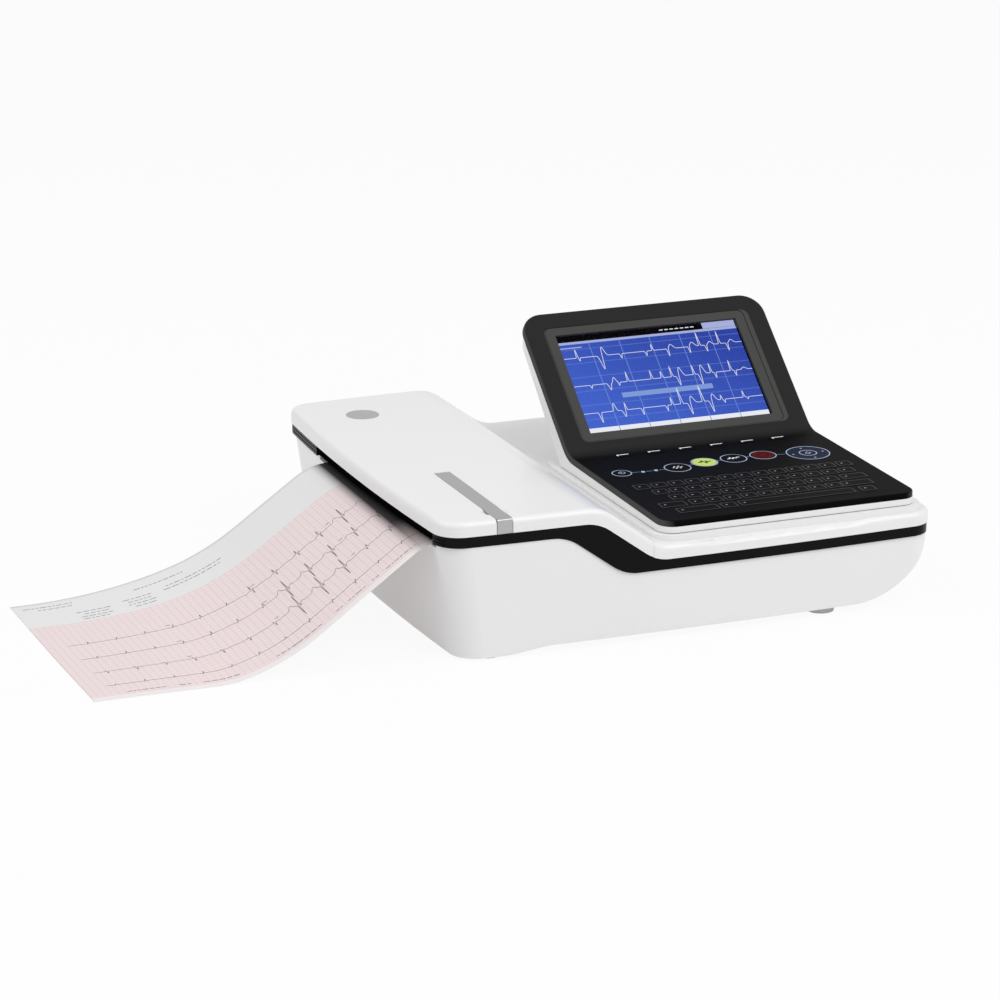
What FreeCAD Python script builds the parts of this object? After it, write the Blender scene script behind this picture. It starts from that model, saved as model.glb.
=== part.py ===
import FreeCAD, Part
import math
import os

# Desktop ECG recorder, millimetres, +Z up, +X to the operator's right, +Y to the back.
# The origin lies on the table under the middle of the body.

V = FreeCAD.Vector
X_DIR = V(1, 0, 0)
Y_DIR = V(0, 1, 0)
Z_DIR = V(0, 0, 1)
REACH = 600.0
SPARE = 20.0
NEAR = 0.01
ALIGNED = 0.9

# Walls and clearances
WALL = 3.0
FIT = 0.2
SEAM = 0.2
DOOR_GAP = 0.5
PARTING_GAP = 0.2
RUNNING_FIT = 0.05

# Body outline in plan
BODY_WIDTH = 392.0
BODY_DEPTH = 347.0
FRONT_BOW = 5.0
LEFT_BOW = 6.0
RIGHT_BOW = 2.0
CORNER_RADIUS = 20.0
RIM_ROUND = 4.0
LEFT = -BODY_WIDTH / 2
RIGHT = BODY_WIDTH / 2
FRONT = -BODY_DEPTH / 2
BACK = BODY_DEPTH / 2

# Heights on the high left side and on the low right side
DOOR_TOP = 103.5
DECK_TOP = 70.5
RIM_HEIGHT_LEFT = 11.0
RIM_HEIGHT_RIGHT = 10.2
BAND_HEIGHT = 7.5
BAND_INSET = 0.6
BAND_GROOVES = 2
BAND_GROOVE_HEIGHT = 1.0
BAND_GROOVE_DEPTH = 0.8
LINING_Z = DOOR_TOP - WALL

# Lower housing
BOTTOM_LEFT_Z = 2.0
BOTTOM_RIGHT_Z = 6.0
BOTTOM_STEP_INSET = 70.5
BOTTOM_STEP_ANGLE = 8.0
BOTTOM_STEP_RADIUS = 80.0
HULL_RADIUS = 68.0
LEFT_LEAN = 14.0
FRONT_LEAN = 3.0
FLOOR_LEFT_Z = BOTTOM_LEFT_Z + WALL
FLOOR_RIGHT_Z = BOTTOM_RIGHT_Z + WALL

# Console: a keyboard plane and a display plane that meet in a bend
CONSOLE_INSET = 117.5
CONSOLE_X = RIGHT - CONSOLE_INSET
PANEL_LEFT_REACH = 100.4
PANEL_RIGHT_REACH = 103.0
PANEL_THICKNESS = 4.5
PANEL_CORNER = 12.0
PANEL_TOP_CORNER = 18.0
PANEL_EDGE_ROUND = 1.5
PANEL_FRONT_INSET = 10.42
PANEL_LEFT = CONSOLE_X - PANEL_LEFT_REACH
PANEL_RIGHT = CONSOLE_X + PANEL_RIGHT_REACH
PANEL_X = (PANEL_LEFT + PANEL_RIGHT) / 2
PANEL_WIDTH = PANEL_RIGHT - PANEL_LEFT
PANEL_FRONT_Y = FRONT + PANEL_FRONT_INSET
KEY_TILT = 0.9
KEY_LENGTH = 172.0
DISPLAY_TILT = 40.4
DISPLAY_LENGTH = 130.7
KEY_SLOPE = math.radians(KEY_TILT)
DISPLAY_SLOPE = math.radians(DISPLAY_TILT)
SEAM_RISE = 5.0
SEAM_Z = DECK_TOP + SEAM_RISE
BEND_RISE = 11.7
BEND_RADIUS = 25.0
BEND_Y = PANEL_FRONT_Y + KEY_LENGTH * math.cos(KEY_SLOPE)
BEND_Z = SEAM_Z + BEND_RISE

# Display
LCD_WIDTH = 152.4
LCD_HEIGHT = 91.44
LCD_OFFSET = 63.5
LCD_THICKNESS = 6.0
LCD_RIM = 5.0
BEZEL_SIDE = 7.5
BEZEL_END = 7.0
BEZEL_CORNER = 5.0
BEZEL_DEPTH = 3.5
BEZEL_RECESS = 0.3
BEZEL_WIDTH = LCD_WIDTH + 2 * BEZEL_SIDE
BEZEL_HEIGHT = LCD_HEIGHT + 2 * BEZEL_END
GLASS_THICKNESS = 1.1
GLASS_RECESS = 0.8
GLASS_AIR = 0.4

# Console carrier, its hump, its seal and the plinth on the deck
SHELL_MARGIN = 0.3
SHELL_DEPTH = 16.0
SHELL_LOW_DEPTH = 18.0
SHELL_TOP_DEPTH = 9.5
SHELL_TOP_CORNER = 26.0
SHELL_WALL = 2.5
BULGE_DEPTH = 30.0
BULGE_SIDE = 16.0
BULGE_TOP = 11.0
BULGE_ROUND = 8.0
GASKET_HEIGHT = 0.5
GASKET_INSET = 1.0
GASKET_WIDTH = 4.0
GASKET_BACK = 30.0
PLINTH_LEFT = 6.0
PLINTH_RIGHT = 5.0
PLINTH_FRONT = 4.0
PLINTH_BEHIND = 37.1
PLINTH_CORNER = 16.0
PLINTH_WALL = 15.0
PLINTH_X0 = PANEL_LEFT - PLINTH_LEFT
PLINTH_X1 = PANEL_RIGHT + PLINTH_RIGHT
PLINTH_Y0 = PANEL_FRONT_Y - PLINTH_FRONT
PLINTH_Y1 = BEND_Y + PLINTH_BEHIND

# The slope between the two levels, and the crease where door and deck part
SLOPE_ANGLE = 36.0
SLOPE_RADIUS = 32.0
VALLEY_GAP = 5.6
END_WALL_RISE = 2.0
VALLEY_X = PLINTH_X0 - VALLEY_GAP
TOP_SLOPE_INSET = 16.5
BAND_TOP_SLOPE_INSET = 20.0
BAND_BOTTOM_SLOPE_INSET = 43.5
TOP_SLOPE_X = VALLEY_X - TOP_SLOPE_INSET
BAND_TOP_SLOPE_X = VALLEY_X - BAND_TOP_SLOPE_INSET
BAND_BOTTOM_SLOPE_X = VALLEY_X - BAND_BOTTOM_SLOPE_INSET

# Keys, placed from the bend: x from the console's middle, y up the key plane, diameter
KEY_GAP = 0.3
KEY_PROUD = 0.3
KEY_STEM = 3.4
KEY_BEVEL = 0.2
FUNCTION_KEYS = {
    "power_key": (-80.6, -54.5, 13.0),
    "leads_key": (-36.3, -56.4, 18.4),
    "start_key": (-11.9, -51.1, 18.4),
    "rhythm_key": (12.6, -50.1, 18.4),
    "stop_key": (36.9, -50.2, 18.4),
}
NAV_X = 70.7
NAV_Y = -57.8
NAV_DIAMETER = 34.0
NAV_SELECT_DIAMETER = 11.0
NAV_GAP = 0.5
SOFTKEY_COUNT = 6
SOFTKEY_PITCH = 25.8
SOFTKEY_FIRST_X = -61.5
SOFTKEY_Y = -15.0
SOFTKEY_WIDTH = 15.0
SOFTKEY_DEPTH = 6.0
SOFTKEY_CORNER = 1.5
LED_COUNT = 2
LED_FIRST_X = -64.5
LED_PITCH = 10.5
LED_Y = -56.9
LED_DIAMETER = 3.0
LED_PROUD = 0.2
LED_GUIDE_THICKNESS = 1.5
LED_GUIDE_CORNER = 1.0

# Letter keyboard
ROW_FIRST_Y = -91.0
ROW_PITCH = 15.2
ROW_COUNTS = (13, 12, 10, 9, 1)
ROW_STARTS = (-80.7, -72.6, -66.2, -57.3, -39.5)
CAP_PITCH = 13.7
CAP_WIDTH = 11.6
WIDE_CAPS = (
    (),
    (),
    ((76.0, 20.0),),
    ((-76.8, 20.0), (71.0, 24.0)),
    ((-64.0, 32.0), (15.0, 92.0), (72.0, CAP_WIDTH)),
)
CAP_DEPTH = 11.0
CAP_CORNER = 1.0
CAP_HEIGHT = 0.3
MAT_WIDTH = 184.0
MAT_DEPTH = 80.0
MAT_THICKNESS = 0.8
MAT_CORNER = 4.0
BOARD_THICKNESS = 1.6
KEY_BOARD_INSET = 7.5
KEY_BOARD_BACK = 12.5

# Paper and the slot in the left wall
PAPER_WIDTH = 215.9
PAPER_FOLD = 139.7
PAPER_THICKNESS = 0.4
PAPER_INSET = 26.55
PAPER_Y0 = FRONT + PAPER_INSET
PAPER_Y1 = PAPER_Y0 + PAPER_WIDTH
PAPER_Y = (PAPER_Y0 + PAPER_Y1) / 2
SLOT_FRONT_MARGIN = 2.55
SLOT_BACK_MARGIN = 18.05
SLOT_FRONT_Y = PAPER_Y0 - SLOT_FRONT_MARGIN
SLOT_BACK_Y = PAPER_Y1 + SLOT_BACK_MARGIN
SLOT_SILL_DROP = 22.0
SLOT_SILL_Z = DOOR_TOP - SLOT_SILL_DROP
SLOT_DEPTH = 40.0

# Platen roller, its bushes and the frame
PLATEN_INSET = 27.0
PLATEN_DROP = 26.5
PLATEN_X = LEFT + PLATEN_INSET
PLATEN_Z = DOOR_TOP - PLATEN_DROP
PLATEN_RADIUS = 7.0
PLATEN_OVERHANG = 2.0
PLATEN_Y0 = PAPER_Y0 - PLATEN_OVERHANG
PLATEN_Y1 = PAPER_Y1 + PLATEN_OVERHANG
SHAFT_RADIUS = 3.0
SHAFT_END = 2.0
BUSH_RADIUS = 5.0
PLATE = 2.5
PLATE_MARGIN = 3.5
FRAME_HALF_WIDTH = 10.0
FRAME_RISE = 5.0
FRAME_NECK = 25.0
FRAME_SHOULDER = 9.0
FRAME_FRONT_LENGTH = 34.0
FRAME_FOOT_INSET = 14.0
FRAME_FRONT_Y = PLATEN_Y0 - PLATE_MARGIN - PLATE
FRAME_BACK_Y = PLATEN_Y1 + PLATE_MARGIN
FRAME_LOW_Z = PLATEN_Z - FRAME_NECK
BEAM_HEIGHT = 4.0
BEAM_BEFORE = 4.0
BEAM_BEHIND = 12.0
BEAM_X0 = PLATEN_X - BEAM_BEFORE
BEAM_X1 = PLATEN_X + BEAM_BEHIND

# Gear train from the motor to the roller
GEAR_MODULE = 1.0
PRESSURE_ANGLE = 20.0
PLATEN_TEETH = 30
IDLER_TEETH = 24
PINION_TEETH = 12
GEAR_WIDTH = 6.0
GEAR_BACKLASH = 0.25
GEAR_DEDENDUM = 1.25
GEAR_ROOT_LAND = 0.05
GEAR_ROOT_TURN = 0.01
GEAR_SPREAD = 0.15
GEAR_SIDE_GAP = 1.5
GEAR_END_GAP = 2.0
IDLER_ANGLE = -50.0
PINION_ANGLE = -20.0
IDLER_STUD_RADIUS = 2.5
IDLER_REACH = GEAR_MODULE * (PLATEN_TEETH + IDLER_TEETH) / 2 + GEAR_SPREAD
PINION_REACH = GEAR_MODULE * (IDLER_TEETH + PINION_TEETH) / 2 + GEAR_SPREAD
IDLER_X = PLATEN_X + IDLER_REACH * math.cos(math.radians(IDLER_ANGLE))
IDLER_Z = PLATEN_Z + IDLER_REACH * math.sin(math.radians(IDLER_ANGLE))
PINION_X = IDLER_X + PINION_REACH * math.cos(math.radians(PINION_ANGLE))
PINION_Z = IDLER_Z + PINION_REACH * math.sin(math.radians(PINION_ANGLE))
GEAR_Y = FRAME_BACK_Y + PLATE + GEAR_SIDE_GAP
GEARBOX_Y = GEAR_Y + GEAR_WIDTH + GEAR_END_GAP
GEARBOX_BEHIND = 20.0
GEARBOX_END = PINION_X + GEARBOX_BEHIND
MOTOR_RADIUS = 17.5
MOTOR_LENGTH = 34.0
MOTOR_SHAFT_RADIUS = 2.0
MOTOR_SHAFT_LENGTH = 26.0
MOTOR_BOSS_RADIUS = 5.5
MOTOR_EAR = 5.0
MOTOR_EAR_THICKNESS = 1.5

# Print head and tear bar under the door
HEAD_WIDTH = 14.0
HEAD_THICKNESS = 6.0
HEAD_CHAMFER = 3.0
HEAD_OVERHANG = 1.55
HEAD_GAP = 0.3
HEAD_PLATE = 1.5
HEAD_WEB = 8.0
HEAD_Y0 = PAPER_Y0 - HEAD_OVERHANG
HEAD_Y1 = PAPER_Y1 + HEAD_OVERHANG
SHEET_Z = PLATEN_Z + PLATEN_RADIUS + HEAD_GAP
HEAD_Z = SHEET_Z + PAPER_THICKNESS + HEAD_GAP
TEAR_INSET = 11.5
TEAR_X = LEFT + TEAR_INSET
TEAR_WIDTH = 4.0
TEAR_TEETH = 55
TEAR_TOOTH = 1.2
TEAR_RISE = 2.5
TEAR_Z = SHEET_Z + PAPER_THICKNESS + TEAR_RISE

# Paper tray, and the page that hangs out of the slot
TRAY_WALL = 1.6
TRAY_HEIGHT = 30.0
TRAY_RISE = 1.0
TRAY_SIDE_GAP = 1.2
TRAY_END_GAP = 2.8
TRAY_BLOCK_INSET = 8.0
TRAY_X0 = BEAM_X0
TRAY_X1 = TRAY_X0 + PAPER_FOLD + TRAY_END_GAP + 2 * TRAY_WALL
TRAY_Y0 = PAPER_Y0 - TRAY_SIDE_GAP
TRAY_Y1 = PAPER_Y1 + TRAY_SIDE_GAP
TRAY_Z = FLOOR_RIGHT_Z + TRAY_RISE
PACK_HEIGHT = 22.0
PACK_GAP = 0.5
SHEET_LEAD = 4.0
SHEET_EXIT_INSET = 6.5
SHEET_START_X = PLATEN_X + SHEET_LEAD
SHEET_EXIT_X = LEFT + SHEET_EXIT_INSET
SHEET_BEND = 50.0
SHEET_STEEP = 35.0
SHEET_SAG = 187.0
SHEET_EASE = 17.0
SHEET_SETTLE = 360.0
SHEET_TAIL = 14.0
SHEET_REST_Z = 0.4

# Door hinge
HINGE_INSETS = {"left": 34.5, "right": 104.5}
HINGE_BEHIND = 4.0
HINGE_DROP = 7.5
HINGE_Y = BACK + HINGE_BEHIND
HINGE_Z = DOOR_TOP - HINGE_DROP
HINGE_PIN_RADIUS = 1.5
KNUCKLE_RADIUS = 3.6
KNUCKLE_LENGTH = 12.0
KNUCKLE_GAP = 0.4
KNUCKLE_FLOOR_GAP = 1.0
BRACKET_DROP = 26.0

# Latch lever, let into the door's top
LATCH_INSET = 50.7
LATCH_X = LEFT + LATCH_INSET
LATCH_WIDTH = 11.4
LATCH_REACH = 123.5
LATCH_THICKNESS = 2.4
LATCH_GAP = 0.35
LATCH_END_GAP = 1.7
LATCH_ROUND = 1.0
LATCH_LEFT = LATCH_X - LATCH_WIDTH / 2
LATCH_RIGHT = LATCH_X + LATCH_WIDTH / 2
LATCH_FRONT_Y = FRONT + FRONT_BOW * (LATCH_X / (BODY_WIDTH / 2)) ** 2
LATCH_BACK_Y = FRONT + LATCH_REACH
LATCH_PIVOT_DROP = 5.5
LATCH_PIVOT_INSET = 2.0
LATCH_PIVOT_Y = LATCH_BACK_Y - LATCH_PIVOT_INSET
LATCH_PIVOT_Z = DOOR_TOP - LATCH_PIVOT_DROP
LATCH_PIN_RADIUS = 1.2
LATCH_HUB_RADIUS = 2.5
LATCH_HUB_INSET = 1.0
TAB_THICKNESS = 2.0
GROOVE_DEPTH = LATCH_THICKNESS + LATCH_GAP
POCKET_LENGTH = 6.0
POCKET_DEPTH = 4.0
EAR_WIDTH = 3.0
EAR_WALL = 1.0
EAR_END = 6.0
DISH_RADIUS = 20.0
DISH_DEPTH = 2.4
DISH_BACK = 20.0

# Badge
BADGE_INSET_X = 50.5
BADGE_INSET_Y = 54.5
BADGE_X = LEFT + BADGE_INSET_X
BADGE_Y = BACK - BADGE_INSET_Y
BADGE_RADIUS = 12.5
BADGE_PROUD = 0.3
BADGE_DEPTH = 1.0
BADGE_FIT = 0.1

# Feet
FOOT_RADIUS = 11.0
FOOT_TAPER = 1.0
FOOT_LEFT_INSET = 44.0
FOOT_RIGHT_INSET = 86.5
FOOT_FRONT_INSET = 21.5
FOOT_BACK_INSET = 25.5
FOOT_LEFT_X = LEFT + FOOT_LEFT_INSET
FOOT_RIGHT_X = RIGHT - FOOT_RIGHT_INSET
FOOT_FRONT_Y = FRONT + FOOT_FRONT_INSET
FOOT_BACK_Y = BACK - FOOT_BACK_INSET

# What stands in the base
HATCH_WIDTH = 104.0
HATCH_DEPTH = 74.0
HATCH_CORNER = 5.0
HATCH_RECESS = 0.2
HATCH_INSET_X = 164.5
HATCH_INSET_Y = 141.5
HATCH_X = RIGHT - HATCH_INSET_X
HATCH_Y = BACK - HATCH_INSET_Y
BATTERY_HEIGHT = 24.0
BATTERY_MARGIN = 3.0
SUPPLY_WIDTH = 56.0
SUPPLY_DEPTH = 140.0
SUPPLY_HEIGHT = 30.0
SUPPLY_ROUND = 3.0
SUPPLY_VENTS = 9
SUPPLY_VENT_PITCH = 12.5
SUPPLY_VENT_WIDTH = 5.0
SUPPLY_VENT_DEPTH = 1.5
SUPPLY_VENT_INSET = 10.0
SUPPLY_INSET_X = 51.5
SUPPLY_INSET_Y = 43.5
SUPPLY_X1 = RIGHT - SUPPLY_INSET_X
SUPPLY_X0 = SUPPLY_X1 - SUPPLY_WIDTH
SUPPLY_Y1 = BACK - SUPPLY_INSET_Y
SUPPLY_Y0 = SUPPLY_Y1 - SUPPLY_DEPTH
BOARD_WIDTH = 142.0
BOARD_GAP = 20.0
BOARD_INSET_X = 49.5
BOARD_INSET_Y = 25.5
BOARD_X1 = RIGHT - BOARD_INSET_X
BOARD_X0 = BOARD_X1 - BOARD_WIDTH
BOARD_Y0 = FRONT + BOARD_INSET_Y
BOARD_Y1 = SUPPLY_Y0 - BOARD_GAP
CHIP_SINK = 0.5
PROCESSOR_SIZE = (30.0, 30.0, 2.4)
PROCESSOR_SPOT = (-20.0, 0.0)
MEMORY_SIZE = (22.0, 12.0, 1.2)
MEMORY_SPOT = (22.0, 20.0)
HEADER_SIZE = (40.0, 6.0, 7.0)
HEADER_INSET_X = 10.0
HEADER_INSET_Y = 2.0
STANDOFF_HEIGHT = 8.0
STANDOFF_RADIUS = 4.0
STANDOFF_INSET = 7.0
STANDOFF_ROOT = 1.0

# Back panel: sockets are width, height, depth
BACK_PLATE_WIDTH = 132.0
BACK_PLATE_HEIGHT = 30.0
BACK_PLATE_THICKNESS = 2.5
BACK_PLATE_INSET_X = 59.5
BACK_PLATE_X1 = RIGHT - BACK_PLATE_INSET_X
BACK_PLATE_X0 = BACK_PLATE_X1 - BACK_PLATE_WIDTH
BACK_PLATE_RISE = 10.0
BACK_PLATE_Z0 = BOTTOM_RIGHT_Z + BACK_PLATE_RISE
BACK_PLATE_Z1 = BACK_PLATE_Z0 + BACK_PLATE_HEIGHT
BACK_PLATE_INSET = 10.5
BACK_PLATE_Y = BACK - BACK_PLATE_INSET
BACK_FACE_Y = BACK_PLATE_Y + BACK_PLATE_THICKNESS
SOCKET_Z = BACK_PLATE_Z0 + BACK_PLATE_HEIGHT / 2
SOCKET_PROUD = 0.5
INLET_INSET = 20.0
INLET_X = BACK_PLATE_X1 - INLET_INSET
INLET_SIZE = (27.5, 20.5, 22.0)
INLET_WELL = (24.0, 16.0, 16.0)
INLET_BLADE = (2.0, 4.0, 13.0)
INLET_BLADE_SPOTS = ((-7.0, -2.0), (0.0, 2.0), (7.0, -2.0))
EARTH_PIN_INSET = 48.0
EARTH_PIN_X = BACK_PLATE_X1 - EARTH_PIN_INSET
EARTH_PIN_RADIUS = 3.0
EARTH_PIN_LENGTH = 12.0
EARTH_PIN_TAIL = 8.0
EARTH_FLANGE_RADIUS = 6.0
EARTH_FLANGE_THICKNESS = 2.0
NETWORK_INSET = 68.0
NETWORK_X = BACK_PLATE_X1 - NETWORK_INSET
NETWORK_SIZE = (16.0, 14.0, 16.0)
NETWORK_WELL = (11.8, 8.0, 11.0)
USB_INSET = 90.0
USB_X = BACK_PLATE_X1 - USB_INSET
USB_SIZE = (14.0, 16.0, 16.0)
USB_WELL = (12.0, 4.6, 10.0)
USB_SPACING = 7.6
USB_TONGUE = (10.8, 1.7, 9.0)
USB_TONGUE_RISE = 1.15
PATIENT_INSET = 116.0
PATIENT_X = BACK_PLATE_X1 - PATIENT_INSET
PATIENT_SIZE = (25.0, 12.0, 14.0)
PATIENT_SHELL = (19.0, 8.0, 5.5)
PATIENT_COUNTS = (8, 7)
PATIENT_ROW_RISE = 1.4
PATIENT_PITCH = 2.1
PATIENT_HOLE_RADIUS = 0.5


def box(x0, x1, y0, y1, z0, z1):
    return Part.makeBox(x1 - x0, y1 - y0, z1 - z0, V(x0, y0, z0))


def rod(radius, x, y, z, axis, length):
    return Part.makeCylinder(radius, length, V(x, y, z), axis)


def pad(cx, cy, width, depth, z0, z1, radius):
    """Upright plate with rounded corners."""
    block = box(cx - width / 2, cx + width / 2, cy - depth / 2, cy + depth / 2, z0, z1)
    return block.makeFillet(radius, edges_along(block, Z_DIR))


def edges_along(shape, axis):
    return [e for e in shape.Edges if abs(e.tangentAt(e.FirstParameter).dot(axis)) > ALIGNED]


def hexagon(radius, x, y, z, axis, length):
    """Six-sided prism along an axis."""
    return Part.Face(Part.makePolygon(ring_points(radius, x, y, z, axis))).extrude(axis * length)


def ring_points(radius, x, y, z, axis):
    side = X_DIR * radius
    turns = [FreeCAD.Rotation(axis, 60 * i) for i in range(7)]
    return [V(x, y, z) + turn.multVec(side) for turn in turns]


def fuse(*shapes):
    return shapes[0].multiFuse(list(shapes[1:])).removeSplitter()


def circle_meet(c0, r0, c1, r1, near):
    """The crossing of two circles in the XY plane that lies nearer to a given point."""
    gap = c1 - c0
    span = gap.Length
    along = (span * span + r0 * r0 - r1 * r1) / (2 * span)
    across = math.sqrt(r0 * r0 - along * along)
    unit = gap * (1 / span)
    side = V(-unit.y, unit.x, 0)
    options = [c0 + unit * along + side * across, c0 + unit * along - side * across]
    return min(options, key=lambda p: (p - near).Length)


def plan_wire(left, right, front, back, radius, z):
    """Plan outline: four bowed sides joined by tangent corner arcs."""
    mid = V((left + right) / 2, (front + back) / 2, z)
    half_width = (right - left) / 2
    half_depth = (back - front) / 2
    end_radius = (half_width ** 2 + FRONT_BOW ** 2) / (2 * FRONT_BOW)
    left_radius = (half_depth ** 2 + LEFT_BOW ** 2) / (2 * LEFT_BOW)
    right_radius = (half_depth ** 2 + RIGHT_BOW ** 2) / (2 * RIGHT_BOW)
    sides = [
        (V(mid.x, front, z), V(mid.x, front + end_radius, z), end_radius),
        (V(right, mid.y, z), V(right - right_radius, mid.y, z), right_radius),
        (V(mid.x, back, z), V(mid.x, back - end_radius, z), end_radius),
        (V(left, mid.y, z), V(left + left_radius, mid.y, z), left_radius),
    ]
    corners = [V(right, front, z), V(right, back, z), V(left, back, z), V(left, front, z)]
    starts, ends, bends = [], [], []
    for i, corner in enumerate(corners):
        _, c0, r0 = sides[i]
        _, c1, r1 = sides[(i + 1) % 4]
        centre = circle_meet(c0, r0 - radius, c1, r1 - radius, corner)
        leave = c0 + (centre - c0) * (r0 / (r0 - radius))
        join = c1 + (centre - c1) * (r1 / (r1 - radius))
        outward = (leave - centre) + (join - centre)
        bends.append(Part.Arc(leave, centre + outward * (radius / outward.Length), join).toShape())
        ends.append(leave)
        starts.append(join)
    edges = []
    for i, (middle, _, _) in enumerate(sides):
        edges.append(Part.Arc(starts[i - 1], middle, ends[i]).toShape())
        edges.append(bends[i])
    return Part.Wire(edges)


def plan_prism(inset, z0, z1):
    radius = CORNER_RADIUS - inset
    wire = plan_wire(LEFT + inset, RIGHT - inset, FRONT + inset, BACK - inset, radius, z0)
    return Part.Face(wire).extrude(V(0, 0, z1 - z0))


class Slope:
    """Side-view line: level, arc, straight slope, arc, level."""

    def __init__(self, mid_x, left_z, right_z, radius=SLOPE_RADIUS, angle=SLOPE_ANGLE):
        self.mid_x = mid_x
        self.left_z = left_z
        self.right_z = right_z
        self.radius = radius
        self.turn = math.radians(angle)
        self.sign = math.copysign(1.0, left_z - right_z)
        arc_drop = radius * (1 - math.cos(self.turn))
        self.straight = (abs(left_z - right_z) - 2 * arc_drop) / math.sin(self.turn)
        self.half_run = radius * math.sin(self.turn) + self.straight * math.cos(self.turn) / 2

    def moved(self, rise):
        angle = math.degrees(self.turn)
        return Slope(self.mid_x, self.left_z + rise, self.right_z + rise, self.radius, angle)

    def arc_point(self, part):
        turn = self.turn * part
        return V(self.radius * math.sin(turn), 0, -self.sign * self.radius * (1 - math.cos(turn)))

    def edges(self):
        start = V(self.mid_x - self.half_run, 0, self.left_z)
        end = V(self.mid_x + self.half_run, 0, self.right_z)
        top = start + self.arc_point(1.0)
        foot = end - self.arc_point(1.0)
        return [
            Part.makeLine(V(-REACH, 0, self.left_z), start),
            Part.Arc(start, start + self.arc_point(0.5), top).toShape(),
            Part.makeLine(top, foot),
            Part.Arc(foot, end - self.arc_point(0.5), end).toShape(),
            Part.makeLine(end, V(REACH, 0, self.right_z)),
        ]

    def height(self, x):
        """Height of the line at x."""
        run = x - self.mid_x
        inner = self.half_run - self.radius * math.sin(self.turn)
        if abs(run) >= self.half_run:
            return self.left_z if run < 0 else self.right_z
        if abs(run) <= inner:
            return (self.left_z + self.right_z) / 2 - self.sign * run * math.tan(self.turn)
        rest = self.half_run - abs(run)
        drop = self.radius - math.sqrt(self.radius ** 2 - rest ** 2)
        return self.left_z - self.sign * drop if run < 0 else self.right_z + self.sign * drop

    def below(self):
        """Everything under the line, as a prism along Y."""
        corners = [V(REACH, 0, self.right_z), V(REACH, 0, -REACH), V(-REACH, 0, -REACH),
                   V(-REACH, 0, self.left_z)]
        wire = Part.Wire(self.edges() + Part.makePolygon(corners).Edges)
        face = Part.Face(wire)
        face.translate(V(0, -REACH, 0))
        return face.extrude(V(0, 2 * REACH, 0))


TOP_LINE = Slope(TOP_SLOPE_X, DOOR_TOP, DECK_TOP)
BAND_TOP_LINE = Slope(BAND_TOP_SLOPE_X, DOOR_TOP - RIM_HEIGHT_LEFT, DECK_TOP - RIM_HEIGHT_RIGHT)
BAND_BOTTOM_LINE = Slope(
    BAND_BOTTOM_SLOPE_X, BAND_TOP_LINE.left_z - BAND_HEIGHT, BAND_TOP_LINE.right_z - BAND_HEIGHT)
BOTTOM_LINE = Slope(
    LEFT + BOTTOM_STEP_INSET, BOTTOM_LEFT_Z, BOTTOM_RIGHT_Z, BOTTOM_STEP_RADIUS, BOTTOM_STEP_ANGLE)


def bow_y(x):
    """Distance of the body's back face from the middle, at x."""
    radius = ((BODY_WIDTH / 2) ** 2 + FRONT_BOW ** 2) / (2 * FRONT_BOW)
    return BACK - (radius - math.sqrt(radius ** 2 - x * x))


def hull_prism(inset):
    """Side view of the lower housing: stepped bottom and a round rise at the right end."""
    radius = HULL_RADIUS - inset
    centre = V(RIGHT - HULL_RADIUS, 0, BOTTOM_RIGHT_Z + HULL_RADIUS)
    turn = math.radians(45)
    foot = centre + V(0, 0, -radius)
    middle = centre + V(radius * math.sin(turn), 0, -radius * math.cos(turn))
    side = centre + V(radius, 0, 0)
    corners = [side, V(side.x, 0, REACH), V(-REACH, 0, REACH), V(-REACH, 0, BOTTOM_LEFT_Z + inset)]
    step = BOTTOM_LINE.moved(inset).edges()[:-1]
    level = Part.makeLine(step[-1].Vertexes[-1].Point, foot)
    rise = Part.Arc(foot, middle, side).toShape()
    wire = Part.Wire(step + [level, rise] + Part.makePolygon(corners).Edges)
    face = Part.Face(wire)
    face.translate(V(0, -REACH, 0))
    return face.extrude(V(0, 2 * REACH, 0))


def leaning_body(inset):
    """Lofted body that leans in towards its foot."""
    top_z = DOOR_TOP
    radius = CORNER_RADIUS - inset
    gap = BAND_INSET + inset
    top = plan_wire(LEFT + gap, RIGHT - gap, FRONT + gap, BACK - gap, radius, top_z)
    front = FRONT + FRONT_LEAN + gap
    foot = plan_wire(LEFT + LEFT_LEAN + inset, RIGHT - inset, front, -front, radius, 0.0)
    return Part.makeLoft([foot, top], True, True)


def slot_cutter():
    """The gap in the left wall that the paper leaves through."""
    return box(LEFT - SPARE, LEFT + SLOT_DEPTH, SLOT_FRONT_Y, SLOT_BACK_Y, SLOT_SILL_Z,
               DOOR_TOP - RIM_HEIGHT_LEFT + SPARE)


def standoffs():
    """Posts on the floor for the main board and the power supply."""
    board = (BOARD_X0, BOARD_X1, BOARD_Y0, BOARD_Y1)
    supply = (SUPPLY_X0, SUPPLY_X1, SUPPLY_Y0, SUPPLY_Y1)
    root_z = FLOOR_RIGHT_Z - STANDOFF_ROOT
    posts = []
    for x0, x1, y0, y1 in (board, supply):
        for x in (x0 + STANDOFF_INSET, x1 - STANDOFF_INSET):
            for y in (y0 + STANDOFF_INSET, y1 - STANDOFF_INSET):
                posts.append(hexagon(STANDOFF_RADIUS, x, y, root_z, Z_DIR, STANDOFF_HEIGHT + STANDOFF_ROOT))
    return posts


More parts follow.
